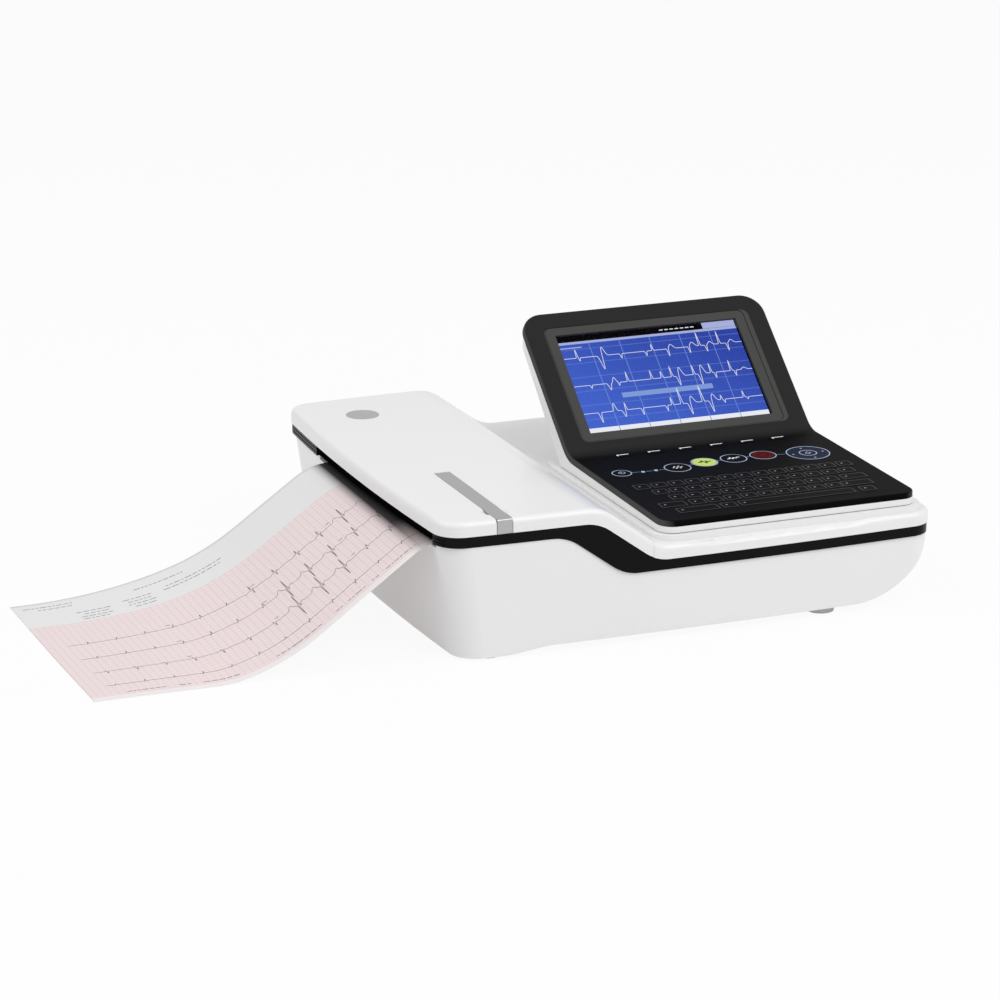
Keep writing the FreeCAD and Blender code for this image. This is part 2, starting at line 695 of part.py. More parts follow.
def lower_housing():
    outer = leaning_body(0.0).common(hull_prism(0.0))
    inner = leaning_body(WALL).common(hull_prism(WALL))
    shell = outer.cut(inner).common(BAND_BOTTOM_LINE.moved(-SEAM).below())
    shell = shell.cut(slot_cutter())
    shell = fuse(shell, *standoffs())
    hatch = pad(HATCH_X, HATCH_Y, HATCH_WIDTH, HATCH_DEPTH, 0, FLOOR_RIGHT_Z + SPARE, HATCH_CORNER)
    window = box(BACK_PLATE_X0, BACK_PLATE_X1, BACK_PLATE_Y - SPARE, BACK + SPARE,
                 BACK_PLATE_Z0, BACK_PLATE_Z1)
    return shell.cut(hatch).cut(window)


def battery_hatch():
    return pad(HATCH_X, HATCH_Y, HATCH_WIDTH - 2 * KEY_GAP, HATCH_DEPTH - 2 * KEY_GAP,
               BOTTOM_RIGHT_Z + HATCH_RECESS, FLOOR_RIGHT_Z, HATCH_CORNER - KEY_GAP)


def battery_pack():
    return pad(HATCH_X, HATCH_Y, HATCH_WIDTH - 2 * BATTERY_MARGIN, HATCH_DEPTH - 2 * BATTERY_MARGIN,
               FLOOR_RIGHT_Z, FLOOR_RIGHT_Z + BATTERY_HEIGHT, HATCH_CORNER)


def main_board():
    z0 = FLOOR_RIGHT_Z + STANDOFF_HEIGHT
    z1 = z0 + BOARD_THICKNESS
    middle = V((BOARD_X0 + BOARD_X1) / 2, (BOARD_Y0 + BOARD_Y1) / 2, z1)
    board = box(BOARD_X0, BOARD_X1, BOARD_Y0, BOARD_Y1, z0, z1)
    header_x = BOARD_X0 + HEADER_INSET_X + HEADER_SIZE[0] / 2
    header_y = BOARD_Y1 - HEADER_INSET_Y - HEADER_SIZE[1] / 2
    chips = [
        chip(middle.x + PROCESSOR_SPOT[0], middle.y + PROCESSOR_SPOT[1], z1, PROCESSOR_SIZE),
        chip(middle.x + MEMORY_SPOT[0], middle.y + MEMORY_SPOT[1], z1, MEMORY_SIZE),
        chip(header_x, header_y, z1, HEADER_SIZE),
    ]
    return fuse(board, *chips)


def chip(x, y, z, size):
    width, depth, height = size
    return box(x - width / 2, x + width / 2, y - depth / 2, y + depth / 2, z - CHIP_SINK, z + height)


def power_supply():
    z0 = FLOOR_RIGHT_Z + STANDOFF_HEIGHT
    z1 = z0 + SUPPLY_HEIGHT
    middle_y = (SUPPLY_Y0 + SUPPLY_Y1) / 2
    case = pad((SUPPLY_X0 + SUPPLY_X1) / 2, middle_y, SUPPLY_WIDTH, SUPPLY_DEPTH, z0, z1, SUPPLY_ROUND)
    vents = []
    for i in range(SUPPLY_VENTS):
        y0 = middle_y + (i - (SUPPLY_VENTS - 1) / 2) * SUPPLY_VENT_PITCH - SUPPLY_VENT_WIDTH / 2
        vents.append(box(SUPPLY_X0 + SUPPLY_VENT_INSET, SUPPLY_X1 - SUPPLY_VENT_INSET,
                         y0, y0 + SUPPLY_VENT_WIDTH, z1 - SUPPLY_VENT_DEPTH, z1 + SPARE))
    return case.cut(vents)


def trim_band():
    """Dark band between the housings, open at the paper slot and grooved on both sides of it."""
    ring = plan_prism(BAND_INSET, 0, DOOR_TOP).cut(plan_prism(BAND_INSET + WALL, -SPARE, DOOR_TOP + SPARE))
    ring = ring.common(BAND_TOP_LINE.below()).cut(BAND_BOTTOM_LINE.below())
    return ring.cut([slot_cutter()] + band_grooves())


def band_grooves():
    """Level grooves round the left corners, up to the ends of the paper slot."""
    pitch = BAND_HEIGHT / (BAND_GROOVES + 1)
    left_side = box(-REACH, LEFT + CORNER_RADIUS / 2, -REACH, REACH, 0, DOOR_TOP)
    grooves = []
    for i in range(BAND_GROOVES):
        z = BAND_BOTTOM_LINE.left_z + (i + 1) * pitch - BAND_GROOVE_HEIGHT / 2
        skin = plan_prism(-BAND_GROOVE_DEPTH, z, z + BAND_GROOVE_HEIGHT)
        core = plan_prism(BAND_INSET + BAND_GROOVE_DEPTH, z, z + BAND_GROOVE_HEIGHT)
        grooves.append(skin.cut(core).common(left_side))
    return grooves


def upper_block():
    """Door and deck as one rounded block, before they are parted."""
    block = plan_prism(0.0, 0.0, DOOR_TOP + SPARE).common(TOP_LINE.below())
    rim = []
    for edge in block.Edges:
        ends = [v.Point for v in edge.Vertexes]
        on_top = all(abs(p.z - TOP_LINE.height(p.x)) < NEAR for p in ends)
        across = isinstance(edge.Curve, Part.Line) and abs(edge.tangentAt(edge.FirstParameter).y) > ALIGNED
        if on_top and not across:
            rim.append(edge)
    return block.makeFillet(RIM_ROUND, rim)


def upper_shell():
    """Skin of the rounded block, open below."""
    inner = plan_prism(WALL, -SPARE, DOOR_TOP + SPARE).common(TOP_LINE.moved(-WALL).below())
    return upper_block().cut(inner)


def upper_housing(shell):
    right = box(VALLEY_X + PARTING_GAP, REACH, -REACH, REACH, -REACH, REACH)
    deck = shell.common(right).cut(BAND_TOP_LINE.moved(SEAM).below())
    width = PLINTH_X1 - PLINTH_X0
    depth = PLINTH_Y1 - PLINTH_Y0
    middle_x = (PLINTH_X0 + PLINTH_X1) / 2
    middle_y = (PLINTH_Y0 + PLINTH_Y1) / 2
    top = SEAM_Z - GASKET_HEIGHT
    plinth = pad(middle_x, middle_y, width, depth, DECK_TOP - WALL, top, PLINTH_CORNER).common(right)
    hollow = pad(middle_x, middle_y, width - 2 * PLINTH_WALL, depth - 2 * PLINTH_WALL, DECK_TOP - 2 * WALL,
                 top + SPARE, PLINTH_CORNER)
    end_x = VALLEY_X + PARTING_GAP
    end_wall = box(end_x, end_x + WALL, FRONT + 3 * WALL, BACK - 3 * WALL,
                   BAND_BOTTOM_LINE.right_z, DECK_TOP + END_WALL_RISE)
    return fuse(deck, plinth, end_wall).cut(hollow)


def knuckle(x, length, radius):
    return rod(radius, x - length / 2, HINGE_Y, HINGE_Z, X_DIR, length)


def hinge_bracket(x):
    """Bracket on the back wall with two outer knuckles and the fixed pin."""
    outer = KNUCKLE_LENGTH / 2
    face_y = bow_y(abs(x) - KNUCKLE_LENGTH) + SEAM
    plate = box(x - 2 * outer, x + 2 * outer, face_y, face_y + PLATE, HINGE_Z - BRACKET_DROP, HINGE_Z)
    arm = box(x - 2 * outer, x + 2 * outer, face_y, HINGE_Y, HINGE_Z - KNUCKLE_RADIUS, HINGE_Z)
    barrel = knuckle(x, 4 * outer, KNUCKLE_RADIUS)
    gap = box(x - outer - KNUCKLE_GAP, x + outer + KNUCKLE_GAP, face_y - SPARE, HINGE_Y + SPARE,
              HINGE_Z - KNUCKLE_RADIUS - KNUCKLE_FLOOR_GAP, HINGE_Z + SPARE)
    return fuse(fuse(plate, arm, barrel).cut(gap), knuckle(x, 4 * outer, HINGE_PIN_RADIUS))


def door_knuckle(x):
    reach = box(x - KNUCKLE_LENGTH / 2, x + KNUCKLE_LENGTH / 2, bow_y(x) - WALL / 2, HINGE_Y,
                HINGE_Z, HINGE_Z + KNUCKLE_RADIUS)
    return fuse(knuckle(x, KNUCKLE_LENGTH, KNUCKLE_RADIUS), reach)


def latch_groove():
    """Space in the door for the latch lever: a groove, a front notch and a pivot pocket."""
    x0 = LATCH_LEFT - LATCH_GAP
    x1 = LATCH_RIGHT + LATCH_GAP
    back = LATCH_BACK_Y + LATCH_END_GAP
    high = DOOR_TOP + SPARE
    groove = box(x0, x1, FRONT - SPARE, back, DOOR_TOP - GROOVE_DEPTH, high)
    notch = box(x0, x1, FRONT - SPARE, LATCH_FRONT_Y + TAB_THICKNESS + LATCH_GAP, 0, high)
    pocket = box(x0, x1, LATCH_PIVOT_Y - POCKET_LENGTH, back, LATCH_PIVOT_Z - POCKET_DEPTH, high)
    dish_z = DOOR_TOP + DISH_RADIUS - DISH_DEPTH
    dish = Part.makeSphere(DISH_RADIUS, V(LATCH_X, LATCH_FRONT_Y + DISH_BACK, dish_z))
    return fuse(groove, notch, pocket).fuse(dish)


def latch_lever():
    """Flush bar with a tab over the door's front edge and stub pins at its back end."""
    top = DOOR_TOP
    bar = box(LATCH_LEFT, LATCH_RIGHT, LATCH_FRONT_Y, LATCH_BACK_Y, top - LATCH_THICKNESS, top)
    tab = box(LATCH_LEFT, LATCH_RIGHT, LATCH_FRONT_Y, LATCH_FRONT_Y + TAB_THICKNESS,
              top - RIM_HEIGHT_LEFT + DOOR_GAP, top)
    hub_x = LATCH_LEFT + LATCH_HUB_INSET
    hub_width = LATCH_WIDTH - 2 * LATCH_HUB_INSET
    lug = box(hub_x, hub_x + hub_width, LATCH_PIVOT_Y - LATCH_HUB_RADIUS, LATCH_BACK_Y, LATCH_PIVOT_Z,
              top - LATCH_THICKNESS / 2)
    hub = rod(LATCH_HUB_RADIUS, hub_x, LATCH_PIVOT_Y, LATCH_PIVOT_Z, X_DIR, hub_width)
    pin = rod(LATCH_PIN_RADIUS, LATCH_LEFT - EAR_WIDTH, LATCH_PIVOT_Y, LATCH_PIVOT_Z, X_DIR,
              LATCH_WIDTH + 2 * EAR_WIDTH)
    lever = fuse(bar, tab, lug, hub, pin)
    front_edge = [e for e in edges_along(lever, X_DIR)
                  if abs(e.CenterOfMass.y - LATCH_FRONT_Y) < NEAR and abs(e.CenterOfMass.z - top) < NEAR]
    return lever.makeFillet(LATCH_ROUND, front_edge)


def writer_door(shell):
    left = box(-REACH, VALLEY_X, -REACH, REACH, -REACH, REACH)
    door = shell.common(left).cut(BAND_TOP_LINE.moved(DOOR_GAP).below())
    floor_z = DOOR_TOP - GROOVE_DEPTH - WALL
    ear_reach = LATCH_GAP + EAR_WIDTH + EAR_WALL
    root_z = DOOR_TOP - WALL / 2
    ears_back = LATCH_BACK_Y + EAR_END
    rib = box(LATCH_LEFT - ear_reach, LATCH_RIGHT + ear_reach, FRONT + 2 * WALL, ears_back, floor_z, root_z)
    ears = box(LATCH_LEFT - ear_reach, LATCH_RIGHT + ear_reach, LATCH_PIVOT_Y - POCKET_LENGTH, ears_back,
               LATCH_PIVOT_Z - POCKET_DEPTH, root_z)
    seat = rod(BADGE_RADIUS + BADGE_FIT, BADGE_X, BADGE_Y, DOOR_TOP - BADGE_DEPTH, Z_DIR, SPARE)
    pivot_x = LATCH_LEFT - EAR_WIDTH - FIT
    pivot = rod(LATCH_PIN_RADIUS + RUNNING_FIT, pivot_x, LATCH_PIVOT_Y, LATCH_PIVOT_Z, X_DIR,
                LATCH_WIDTH + 2 * (EAR_WIDTH + FIT))
    hinges = [LEFT + inset for inset in HINGE_INSETS.values()]
    door = fuse(door, rib, ears, *[door_knuckle(x) for x in hinges])
    pins = [knuckle(x, KNUCKLE_LENGTH + KNUCKLE_GAP, HINGE_PIN_RADIUS + RUNNING_FIT) for x in hinges]
    return door.cut(pins + [latch_groove(), seat, pivot])


def door_badge():
    return rod(BADGE_RADIUS, BADGE_X, BADGE_Y, DOOR_TOP - BADGE_DEPTH, Z_DIR, BADGE_DEPTH + BADGE_PROUD)


def print_head():
    """Thermal bar right over the roller, with bevelled lower edges."""
    x0 = PLATEN_X - HEAD_WIDTH / 2
    bar = box(x0, x0 + HEAD_WIDTH, HEAD_Y0, HEAD_Y1, HEAD_Z, HEAD_Z + HEAD_THICKNESS)
    low = [e for e in edges_along(bar, Y_DIR) if abs(e.CenterOfMass.z - HEAD_Z) < NEAR]
    return bar.makeChamfer(HEAD_CHAMFER, low)


def head_bracket():
    """Folded bracket that hangs the print head under the door."""
    z0 = HEAD_Z + HEAD_THICKNESS
    x0 = PLATEN_X - HEAD_WIDTH / 2
    x1 = PLATEN_X + HEAD_WIDTH / 2
    plate = box(x0, x1, HEAD_Y0, HEAD_Y1, z0, z0 + HEAD_PLATE)
    webs = [box(x0, x1, y, y + HEAD_WEB, z0, LINING_Z)
            for y in (HEAD_Y0, PAPER_Y - HEAD_WEB / 2, HEAD_Y1 - HEAD_WEB)]
    return fuse(plate, *webs)


def tear_bar():
    """Black bar along the top of the paper slot, with a sawtooth lower edge."""
    y0 = HEAD_Y0
    length = HEAD_Y1 - y0
    step = length / TEAR_TEETH
    points = [V(TEAR_X, y0, LINING_Z), V(TEAR_X, y0, TEAR_Z)]
    for i in range(TEAR_TEETH):
        points.append(V(TEAR_X, y0 + (i + 0.5) * step, TEAR_Z + TEAR_TOOTH))
        points.append(V(TEAR_X, y0 + (i + 1) * step, TEAR_Z))
    points += [V(TEAR_X, y0 + length, LINING_Z), points[0]]
    return Part.Face(Part.makePolygon(points)).extrude(V(TEAR_WIDTH, 0, 0))


def key_place(shape):
    """From the key plane's own axes, which start at the bend, to the body's."""
    turned = shape.copy()
    turned.rotate(V(0, 0, 0), X_DIR, KEY_TILT)
    turned.translate(V(CONSOLE_X, BEND_Y, BEND_Z))
    return turned


def display_place(shape):
    """From the display plane's own axes, which start at the screen's centre, to the body's."""
    turned = shape.copy()
    turned.translate(V(0, LCD_OFFSET, 0))
    turned.rotate(V(0, 0, 0), X_DIR, DISPLAY_TILT)
    turned.translate(V(CONSOLE_X, BEND_Y, BEND_Z))
    return turned


def console_point(depth, run, slope):
    """Point in the side view at a depth under the panel, a run from the bend along one plane."""
    y = BEND_Y + run * math.cos(slope) + depth * math.sin(slope)
    z = BEND_Z + run * math.sin(slope) - depth * math.cos(slope)
    return V(0, y, z)


def console_line(depth, grow):
    """Edges at one depth under the panel's face, from its front edge to its top edge."""
    half = (DISPLAY_SLOPE - KEY_SLOPE) / 2
    tangent = BEND_RADIUS * math.tan(half)
    middle = (DISPLAY_SLOPE + KEY_SLOPE) / 2
    centre = console_point(-BEND_RADIUS, -tangent, KEY_SLOPE)
    radius = BEND_RADIUS + depth
    front = console_point(depth, -KEY_LENGTH - grow, KEY_SLOPE)
    bend_in = console_point(depth, -tangent, KEY_SLOPE)
    bend_mid = centre + V(0, math.sin(middle), -math.cos(middle)) * radius
    bend_out = console_point(depth, tangent, DISPLAY_SLOPE)
    top = console_point(depth, DISPLAY_LENGTH + grow, DISPLAY_SLOPE)
    return [Part.makeLine(front, bend_in), Part.Arc(bend_in, bend_mid, bend_out).toShape(),
            Part.makeLine(bend_out, top)]


def console_slab(depth0, depth1, grow, top_corner=PANEL_TOP_CORNER):
    """Bent plate between two depths, with the panel's outline grown all round."""
    upper = console_line(depth0, grow)
    lower = console_line(depth1, grow)
    ends = [Part.makeLine(upper[0].Vertexes[0].Point, lower[0].Vertexes[0].Point),
            Part.makeLine(upper[-1].Vertexes[-1].Point, lower[-1].Vertexes[-1].Point)]
    face = Part.Face(Part.Wire(Part.__sortEdges__(upper + lower + ends)))
    face.translate(V(PANEL_LEFT - grow, 0, 0))
    slab = face.extrude(V(PANEL_WIDTH + 2 * grow, 0, 0))
    corners = [e for e in slab.Edges if abs(e.Length - (depth1 - depth0)) < NEAR
               and not edges_along(e, X_DIR)]
    slab = slab.makeFillet(PANEL_CORNER + grow, [e for e in corners if e.CenterOfMass.y < BEND_Y])
    high = [e for e in slab.Edges if abs(e.Length - (depth1 - depth0)) < NEAR
            and e.CenterOfMass.y > BEND_Y and not edges_along(e, X_DIR)]
    return slab.makeFillet(top_corner + grow, high)


def console_panel():
    slab = console_slab(0.0, PANEL_THICKNESS, 0.0)
    rim = []
    for edge in slab.Edges:
        point = edge.valueAt((edge.FirstParameter + edge.LastParameter) / 2)
        tangent = edge.tangentAt((edge.FirstParameter + edge.LastParameter) / 2)
        if edge_on_rim(point, tangent):
            rim.append(edge)
    slab = slab.makeFillet(PANEL_EDGE_ROUND, rim)
    window = pad(0, 0, BEZEL_WIDTH + 2 * FIT, BEZEL_HEIGHT + 2 * FIT, -SPARE, SPARE, BEZEL_CORNER)
    cuts = [mat_pad(FIT, -MAT_THICKNESS, SPARE), led_guide(FIT, -SPARE)]
    for x, y, diameter in FUNCTION_KEYS.values():
        cuts.append(rod(diameter / 2 + KEY_GAP, x, y, -SPARE, Z_DIR, 2 * SPARE))
    cuts.append(rod(NAV_DIAMETER / 2 + NAV_GAP, NAV_X, NAV_Y, -SPARE, Z_DIR, 2 * SPARE))
    cuts += [softkey_pad(i, KEY_GAP, -SPARE, SPARE) for i in range(SOFTKEY_COUNT)]
    cuts += [led_post(i, FIT, SPARE) for i in range(LED_COUNT)]
    return slab.cut([display_place(window)] + [key_place(cut) for cut in cuts])


def edge_on_rim(point, tangent):
    """True for an edge on the outer border of the panel's upper face."""
    on_key = abs(depth_under(point, KEY_SLOPE)) < NEAR and point.y < BEND_Y
    on_display = abs(depth_under(point, DISPLAY_SLOPE)) < NEAR and point.y > BEND_Y
    at_side = min(abs(point.x - PANEL_LEFT), abs(point.x - PANEL_RIGHT)) < PANEL_CORNER
    at_end = point.y < PANEL_FRONT_Y + SEAM or run_along_display(point) > DISPLAY_LENGTH - SEAM
    in_bend = at_side and abs(tangent.x) < 1 - ALIGNED and on_bend_arc(point)
    return ((on_key or on_display) and (at_side or at_end)) or in_bend


def depth_under(point, slope):
    return (point.y - BEND_Y) * math.sin(slope) - (point.z - BEND_Z) * math.cos(slope)


def run_along_display(point):
    return (point.y - BEND_Y) * math.cos(DISPLAY_SLOPE) + (point.z - BEND_Z) * math.sin(DISPLAY_SLOPE)


def on_bend_arc(point):
    tangent = BEND_RADIUS * math.tan((DISPLAY_SLOPE - KEY_SLOPE) / 2)
    centre = console_point(-BEND_RADIUS, -tangent, KEY_SLOPE)
    return abs(math.hypot(point.y - centre.y, point.z - centre.z) - BEND_RADIUS) < NEAR


def shell_side(inset, floor_z):
    """All that lies above a floor and before the carrier's back, which slopes away from the display."""
    low = console_point(SHELL_LOW_DEPTH - inset, 0.0, DISPLAY_SLOPE)
    high = console_point(SHELL_TOP_DEPTH - inset, DISPLAY_LENGTH, DISPLAY_SLOPE)
    climb = (high - low) * (1 / (high.z - low.z))
    foot = low + climb * (floor_z - low.z)
    top = high + climb * SPARE
    side = Part.makePolygon([foot, top, V(0, top.y, REACH), V(0, -REACH, REACH), V(0, -REACH, floor_z), foot])
    face = Part.Face(side)
    face.translate(V(-REACH, 0, 0))
    return face.extrude(V(2 * REACH, 0, 0))


def console_shell():
    """White carrier behind the panel, flat underneath, with a rounded bulge behind the display."""
    outline = console_slab(PANEL_THICKNESS, PANEL_THICKNESS + 2 * BULGE_DEPTH, SHELL_MARGIN, SHELL_TOP_CORNER)
    body = outline.common(shell_side(0.0, SEAM_Z)).fuse(console_bulge())
    room = console_slab(0.0, SHELL_DEPTH - SHELL_WALL, -SHELL_WALL, SHELL_TOP_CORNER)
    half_width = PANEL_LEFT_REACH - BULGE_SIDE - SHELL_WALL
    y1 = DISPLAY_LENGTH - BULGE_TOP - LCD_OFFSET - SHELL_WALL
    pocket = display_place(box(-half_width, half_width, -LCD_OFFSET, y1, -BULGE_DEPTH, 0))
    cavity = room.common(shell_side(SHELL_WALL, SEAM_Z - SPARE)).fuse(room.common(pocket))
    return body.cut(cavity).removeSplitter()


def console_bulge():
    """Rounded hump on the display's back, resting on the plinth."""
    half_width = PANEL_LEFT_REACH - BULGE_SIDE
    y1 = DISPLAY_LENGTH - BULGE_TOP - LCD_OFFSET
    block = box(-half_width, half_width, -LCD_OFFSET - 2 * BULGE_DEPTH, y1, -BULGE_DEPTH, -PANEL_THICKNESS)
    outer = [e for e in block.Edges if e.CenterOfMass.z < -BULGE_DEPTH + NEAR or e.CenterOfMass.y > y1 - NEAR]
    outer = [e for e in outer if e.CenterOfMass.z < -PANEL_THICKNESS - NEAR]
    hump = display_place(block.makeFillet(BULGE_ROUND, outer))
    over = console_slab(0.0, PANEL_THICKNESS, SPARE)
    low = box(-REACH, REACH, -REACH, REACH, -REACH, SEAM_Z)
    return hump.cut(over).cut(low)


def console_gasket():
    """Dark seal in the seam between the plinth and the console."""
    grow = SHELL_MARGIN - GASKET_INSET
    y0 = PANEL_FRONT_Y - grow
    y1 = PLINTH_Y1 - GASKET_BACK
    middle_y = (y0 + y1) / 2
    width = PANEL_WIDTH + 2 * grow
    rim = 2 * GASKET_WIDTH
    ring = pad(PANEL_X, middle_y, width, y1 - y0, SEAM_Z - GASKET_HEIGHT, SEAM_Z, PANEL_CORNER)
    hole = pad(PANEL_X, middle_y, width - rim, y1 - y0 - rim, SEAM_Z - SPARE, SEAM_Z + SPARE,
               PANEL_CORNER - GASKET_WIDTH)
    return ring.cut(hole)


def display_bezel():
    frame = pad(0, 0, BEZEL_WIDTH, BEZEL_HEIGHT, -BEZEL_DEPTH, -BEZEL_RECESS, BEZEL_CORNER - FIT)
    hole = box(-LCD_WIDTH / 2, LCD_WIDTH / 2, -LCD_HEIGHT / 2, LCD_HEIGHT / 2, -SPARE, SPARE)
    return display_place(frame.cut(hole))


def display_window():
    half_width = LCD_WIDTH / 2 - FIT
    half_height = LCD_HEIGHT / 2 - FIT
    low = -GLASS_RECESS - GLASS_THICKNESS
    return display_place(box(-half_width, half_width, -half_height, half_height, low, -GLASS_RECESS))


def lcd_module():
    """Screen with its metal rim under the bezel, an air gap below the glass."""
    top = -BEZEL_DEPTH
    face = -GLASS_RECESS - GLASS_THICKNESS - GLASS_AIR
    half_width = LCD_WIDTH / 2
    half_height = LCD_HEIGHT / 2
    rim = box(-half_width - LCD_RIM, half_width + LCD_RIM, -half_height - LCD_RIM, half_height + LCD_RIM,
              top - LCD_THICKNESS, top)
    screen = box(-half_width + FIT, half_width - FIT, -half_height + FIT, half_height - FIT,
                 top - LCD_THICKNESS / 2, face)
    return display_place(fuse(rim, screen))


def mat_pad(grow, z0, z1):
    middle_y = ROW_FIRST_Y - 2 * ROW_PITCH
    return pad(0, middle_y, MAT_WIDTH + 2 * grow, MAT_DEPTH + 2 * grow, z0, z1, MAT_CORNER + grow)


def key_rows():
    """Centre and width of every cap on the keyboard, row by row from the digits to the space bar."""
    for index, count in enumerate(ROW_COUNTS):
        caps = [(ROW_STARTS[index] + i * CAP_PITCH, CAP_WIDTH) for i in range(count)]
        for x, width in caps + list(WIDE_CAPS[index]):
            yield x, ROW_FIRST_Y - index * ROW_PITCH, width


def key_cap(x, y, width):
    """Low cap with cut corners."""
    block = box(x - width / 2, x + width / 2, y - CAP_DEPTH / 2, y + CAP_DEPTH / 2,
                -MAT_THICKNESS / 2, CAP_HEIGHT)
    return block.makeChamfer(CAP_CORNER, edges_along(block, Z_DIR))


def keypad_mat():
    """Keyboard as one moulded mat with low caps."""
    caps = [key_cap(x, y, width) for x, y, width in key_rows()]
    return key_place(mat_pad(0.0, -MAT_THICKNESS, 0.0).multiFuse(caps))


def keypad_board():
    """Switch board under the keys, held against the panel's underside."""
    top = -PANEL_THICKNESS - FIT
    half = PANEL_LEFT_REACH - KEY_BOARD_INSET
    front = -KEY_LENGTH + KEY_BOARD_INSET
    return key_place(box(-half, half, front, -KEY_BOARD_BACK, top - BOARD_THICKNESS, top))


def softkey_pad(index, grow, z0, z1):
    x = SOFTKEY_FIRST_X + index * SOFTKEY_PITCH
    return pad(x, SOFTKEY_Y, SOFTKEY_WIDTH + 2 * grow, SOFTKEY_DEPTH + 2 * grow, z0, z1,
               SOFTKEY_CORNER + grow)


def key_button(diameter):
    """Round key on its stem, with a bevelled face."""
    radius = diameter / 2
    stem = rod(radius, 0, 0, -KEY_STEM, Z_DIR, KEY_STEM + KEY_PROUD - KEY_BEVEL)
    face = Part.makeCone(radius, radius - KEY_BEVEL, KEY_BEVEL, V(0, 0, KEY_PROUD - KEY_BEVEL), Z_DIR)
    return fuse(stem, face)


def round_key(x, y, diameter):
    key = key_button(diameter)
    key.translate(V(x, y, 0))
    return key_place(key)


def nav_pad():
    """Four-way ring round the select key."""
    hole = rod(NAV_SELECT_DIAMETER / 2 + NAV_GAP, 0, 0, -SPARE, Z_DIR, 2 * SPARE)
    ring = key_button(NAV_DIAMETER).cut(hole)
    ring.translate(V(NAV_X, NAV_Y, 0))
    return key_place(ring)


def led_post(index, grow, top):
    x = LED_FIRST_X + index * LED_PITCH
    return rod(LED_DIAMETER / 2 + grow, x, LED_Y, -PANEL_THICKNESS, Z_DIR, PANEL_THICKNESS + top)


def led_guide(grow, low):
    """Strip under the panel's face that joins the status lights."""
    span = (LED_COUNT - 1) * LED_PITCH
    return pad(LED_FIRST_X + span / 2, LED_Y, span + LED_DIAMETER + 2 * grow, LED_DIAMETER + 2 * grow, low,
               LED_GUIDE_THICKNESS + grow - PANEL_THICKNESS, LED_GUIDE_CORNER + grow)


def status_leds():
    """Light guide: two lenses on one strip."""
    posts = [led_post(i, 0.0, LED_PROUD) for i in range(LED_COUNT)]
    return key_place(fuse(led_guide(0.0, -PANEL_THICKNESS), *posts))


def gear(teeth, x, y, z, bore, phase):
    """Spur gear about an axis along Y, with involute flanks thinned for backlash."""
    pitch = GEAR_MODULE * teeth / 2
    base = pitch * math.cos(math.radians(PRESSURE_ANGLE))
    tip = pitch + GEAR_MODULE
    root = pitch - GEAR_DEDENDUM * GEAR_MODULE
    half_tooth = (math.pi * GEAR_MODULE / 2 - GEAR_BACKLASH) / (2 * pitch)

    def flank(radius):
        """Half of the tooth's angle at a radius."""
        def roll(r):
            cosine = min(1.0, base / r)
            angle = math.acos(cosine)
            return math.tan(angle) - angle
        return half_tooth + roll(pitch) - roll(radius)

    radii = [max(base, root + GEAR_ROOT_LAND), pitch, tip]
    points = []
    for i in range(teeth):
        middle = phase + 2 * math.pi * i / teeth
        foot_turn = flank(radii[0]) + GEAR_ROOT_TURN
        left = [(root, middle - foot_turn)] + [(r, middle - flank(r)) for r in radii]
        right = [(r, middle + flank(r)) for r in reversed(radii)] + [(root, middle + foot_turn)]
        points += [V(x + r * math.cos(a), y, z + r * math.sin(a)) for r, a in left + right]
    points.append(points[0])
    blank = Part.Face(Part.makePolygon(points)).extrude(V(0, GEAR_WIDTH, 0))
    return blank.cut(rod(bore, x, y - SPARE, z, Y_DIR, GEAR_WIDTH + 2 * SPARE)) if bore else blank


def tooth_phases():
    """Turn each gear so that its teeth sit in its neighbour's gaps at rest."""
    to_idler = math.radians(IDLER_ANGLE)
    to_pinion = math.radians(PINION_ANGLE)
    platen = to_idler
    idler = to_idler + math.pi + math.pi / IDLER_TEETH
    tooth_at = (to_pinion - idler) / (2 * math.pi / IDLER_TEETH)
    offset = (tooth_at - round(tooth_at)) * (2 * math.pi / IDLER_TEETH)
    pinion = to_pinion + math.pi + math.pi / PINION_TEETH + offset * IDLER_TEETH / PINION_TEETH
    return platen, idler, pinion


def platen_shaft():
    y0 = FRAME_FRONT_Y - SHAFT_END
    y1 = GEAR_Y + GEAR_WIDTH + GEAR_SIDE_GAP
    return rod(SHAFT_RADIUS, PLATEN_X, y0, PLATEN_Z, Y_DIR, y1 - y0)


def platen_roller():
    length = PLATEN_Y1 - PLATEN_Y0
    sleeve = rod(PLATEN_RADIUS, PLATEN_X, PLATEN_Y0, PLATEN_Z, Y_DIR, length)
    return sleeve.cut(rod(SHAFT_RADIUS, PLATEN_X, PLATEN_Y0 - SPARE, PLATEN_Z, Y_DIR, length + 2 * SPARE))


def bush(y):
    ring = rod(BUSH_RADIUS, PLATEN_X, y, PLATEN_Z, Y_DIR, PLATE)
    bore = rod(SHAFT_RADIUS + RUNNING_FIT, PLATEN_X, y - SPARE, PLATEN_Z, Y_DIR, 2 * SPARE)
    return ring.cut(bore)


def frame_plate(y, x1, cuts):
    """Upright side plate from the floor to the roller, with round holes."""
    foot_x = LEFT + LEFT_LEAN + FRAME_FOOT_INSET
    x0 = PLATEN_X - FRAME_HALF_WIDTH
    top = PLATEN_Z + FRAME_RISE
    outline = [V(foot_x, y, FLOOR_LEFT_Z), V(x0, y, FRAME_LOW_Z), V(x0, y, top),
               V(PLATEN_X + FRAME_HALF_WIDTH, y, top), V(x1, y, PLATEN_Z - FRAME_SHOULDER),
               V(x1, y, FLOOR_LEFT_Z)]
    plate = Part.Face(Part.makePolygon(outline + [outline[0]])).extrude(V(0, PLATE, 0))
    return plate.cut(cuts)


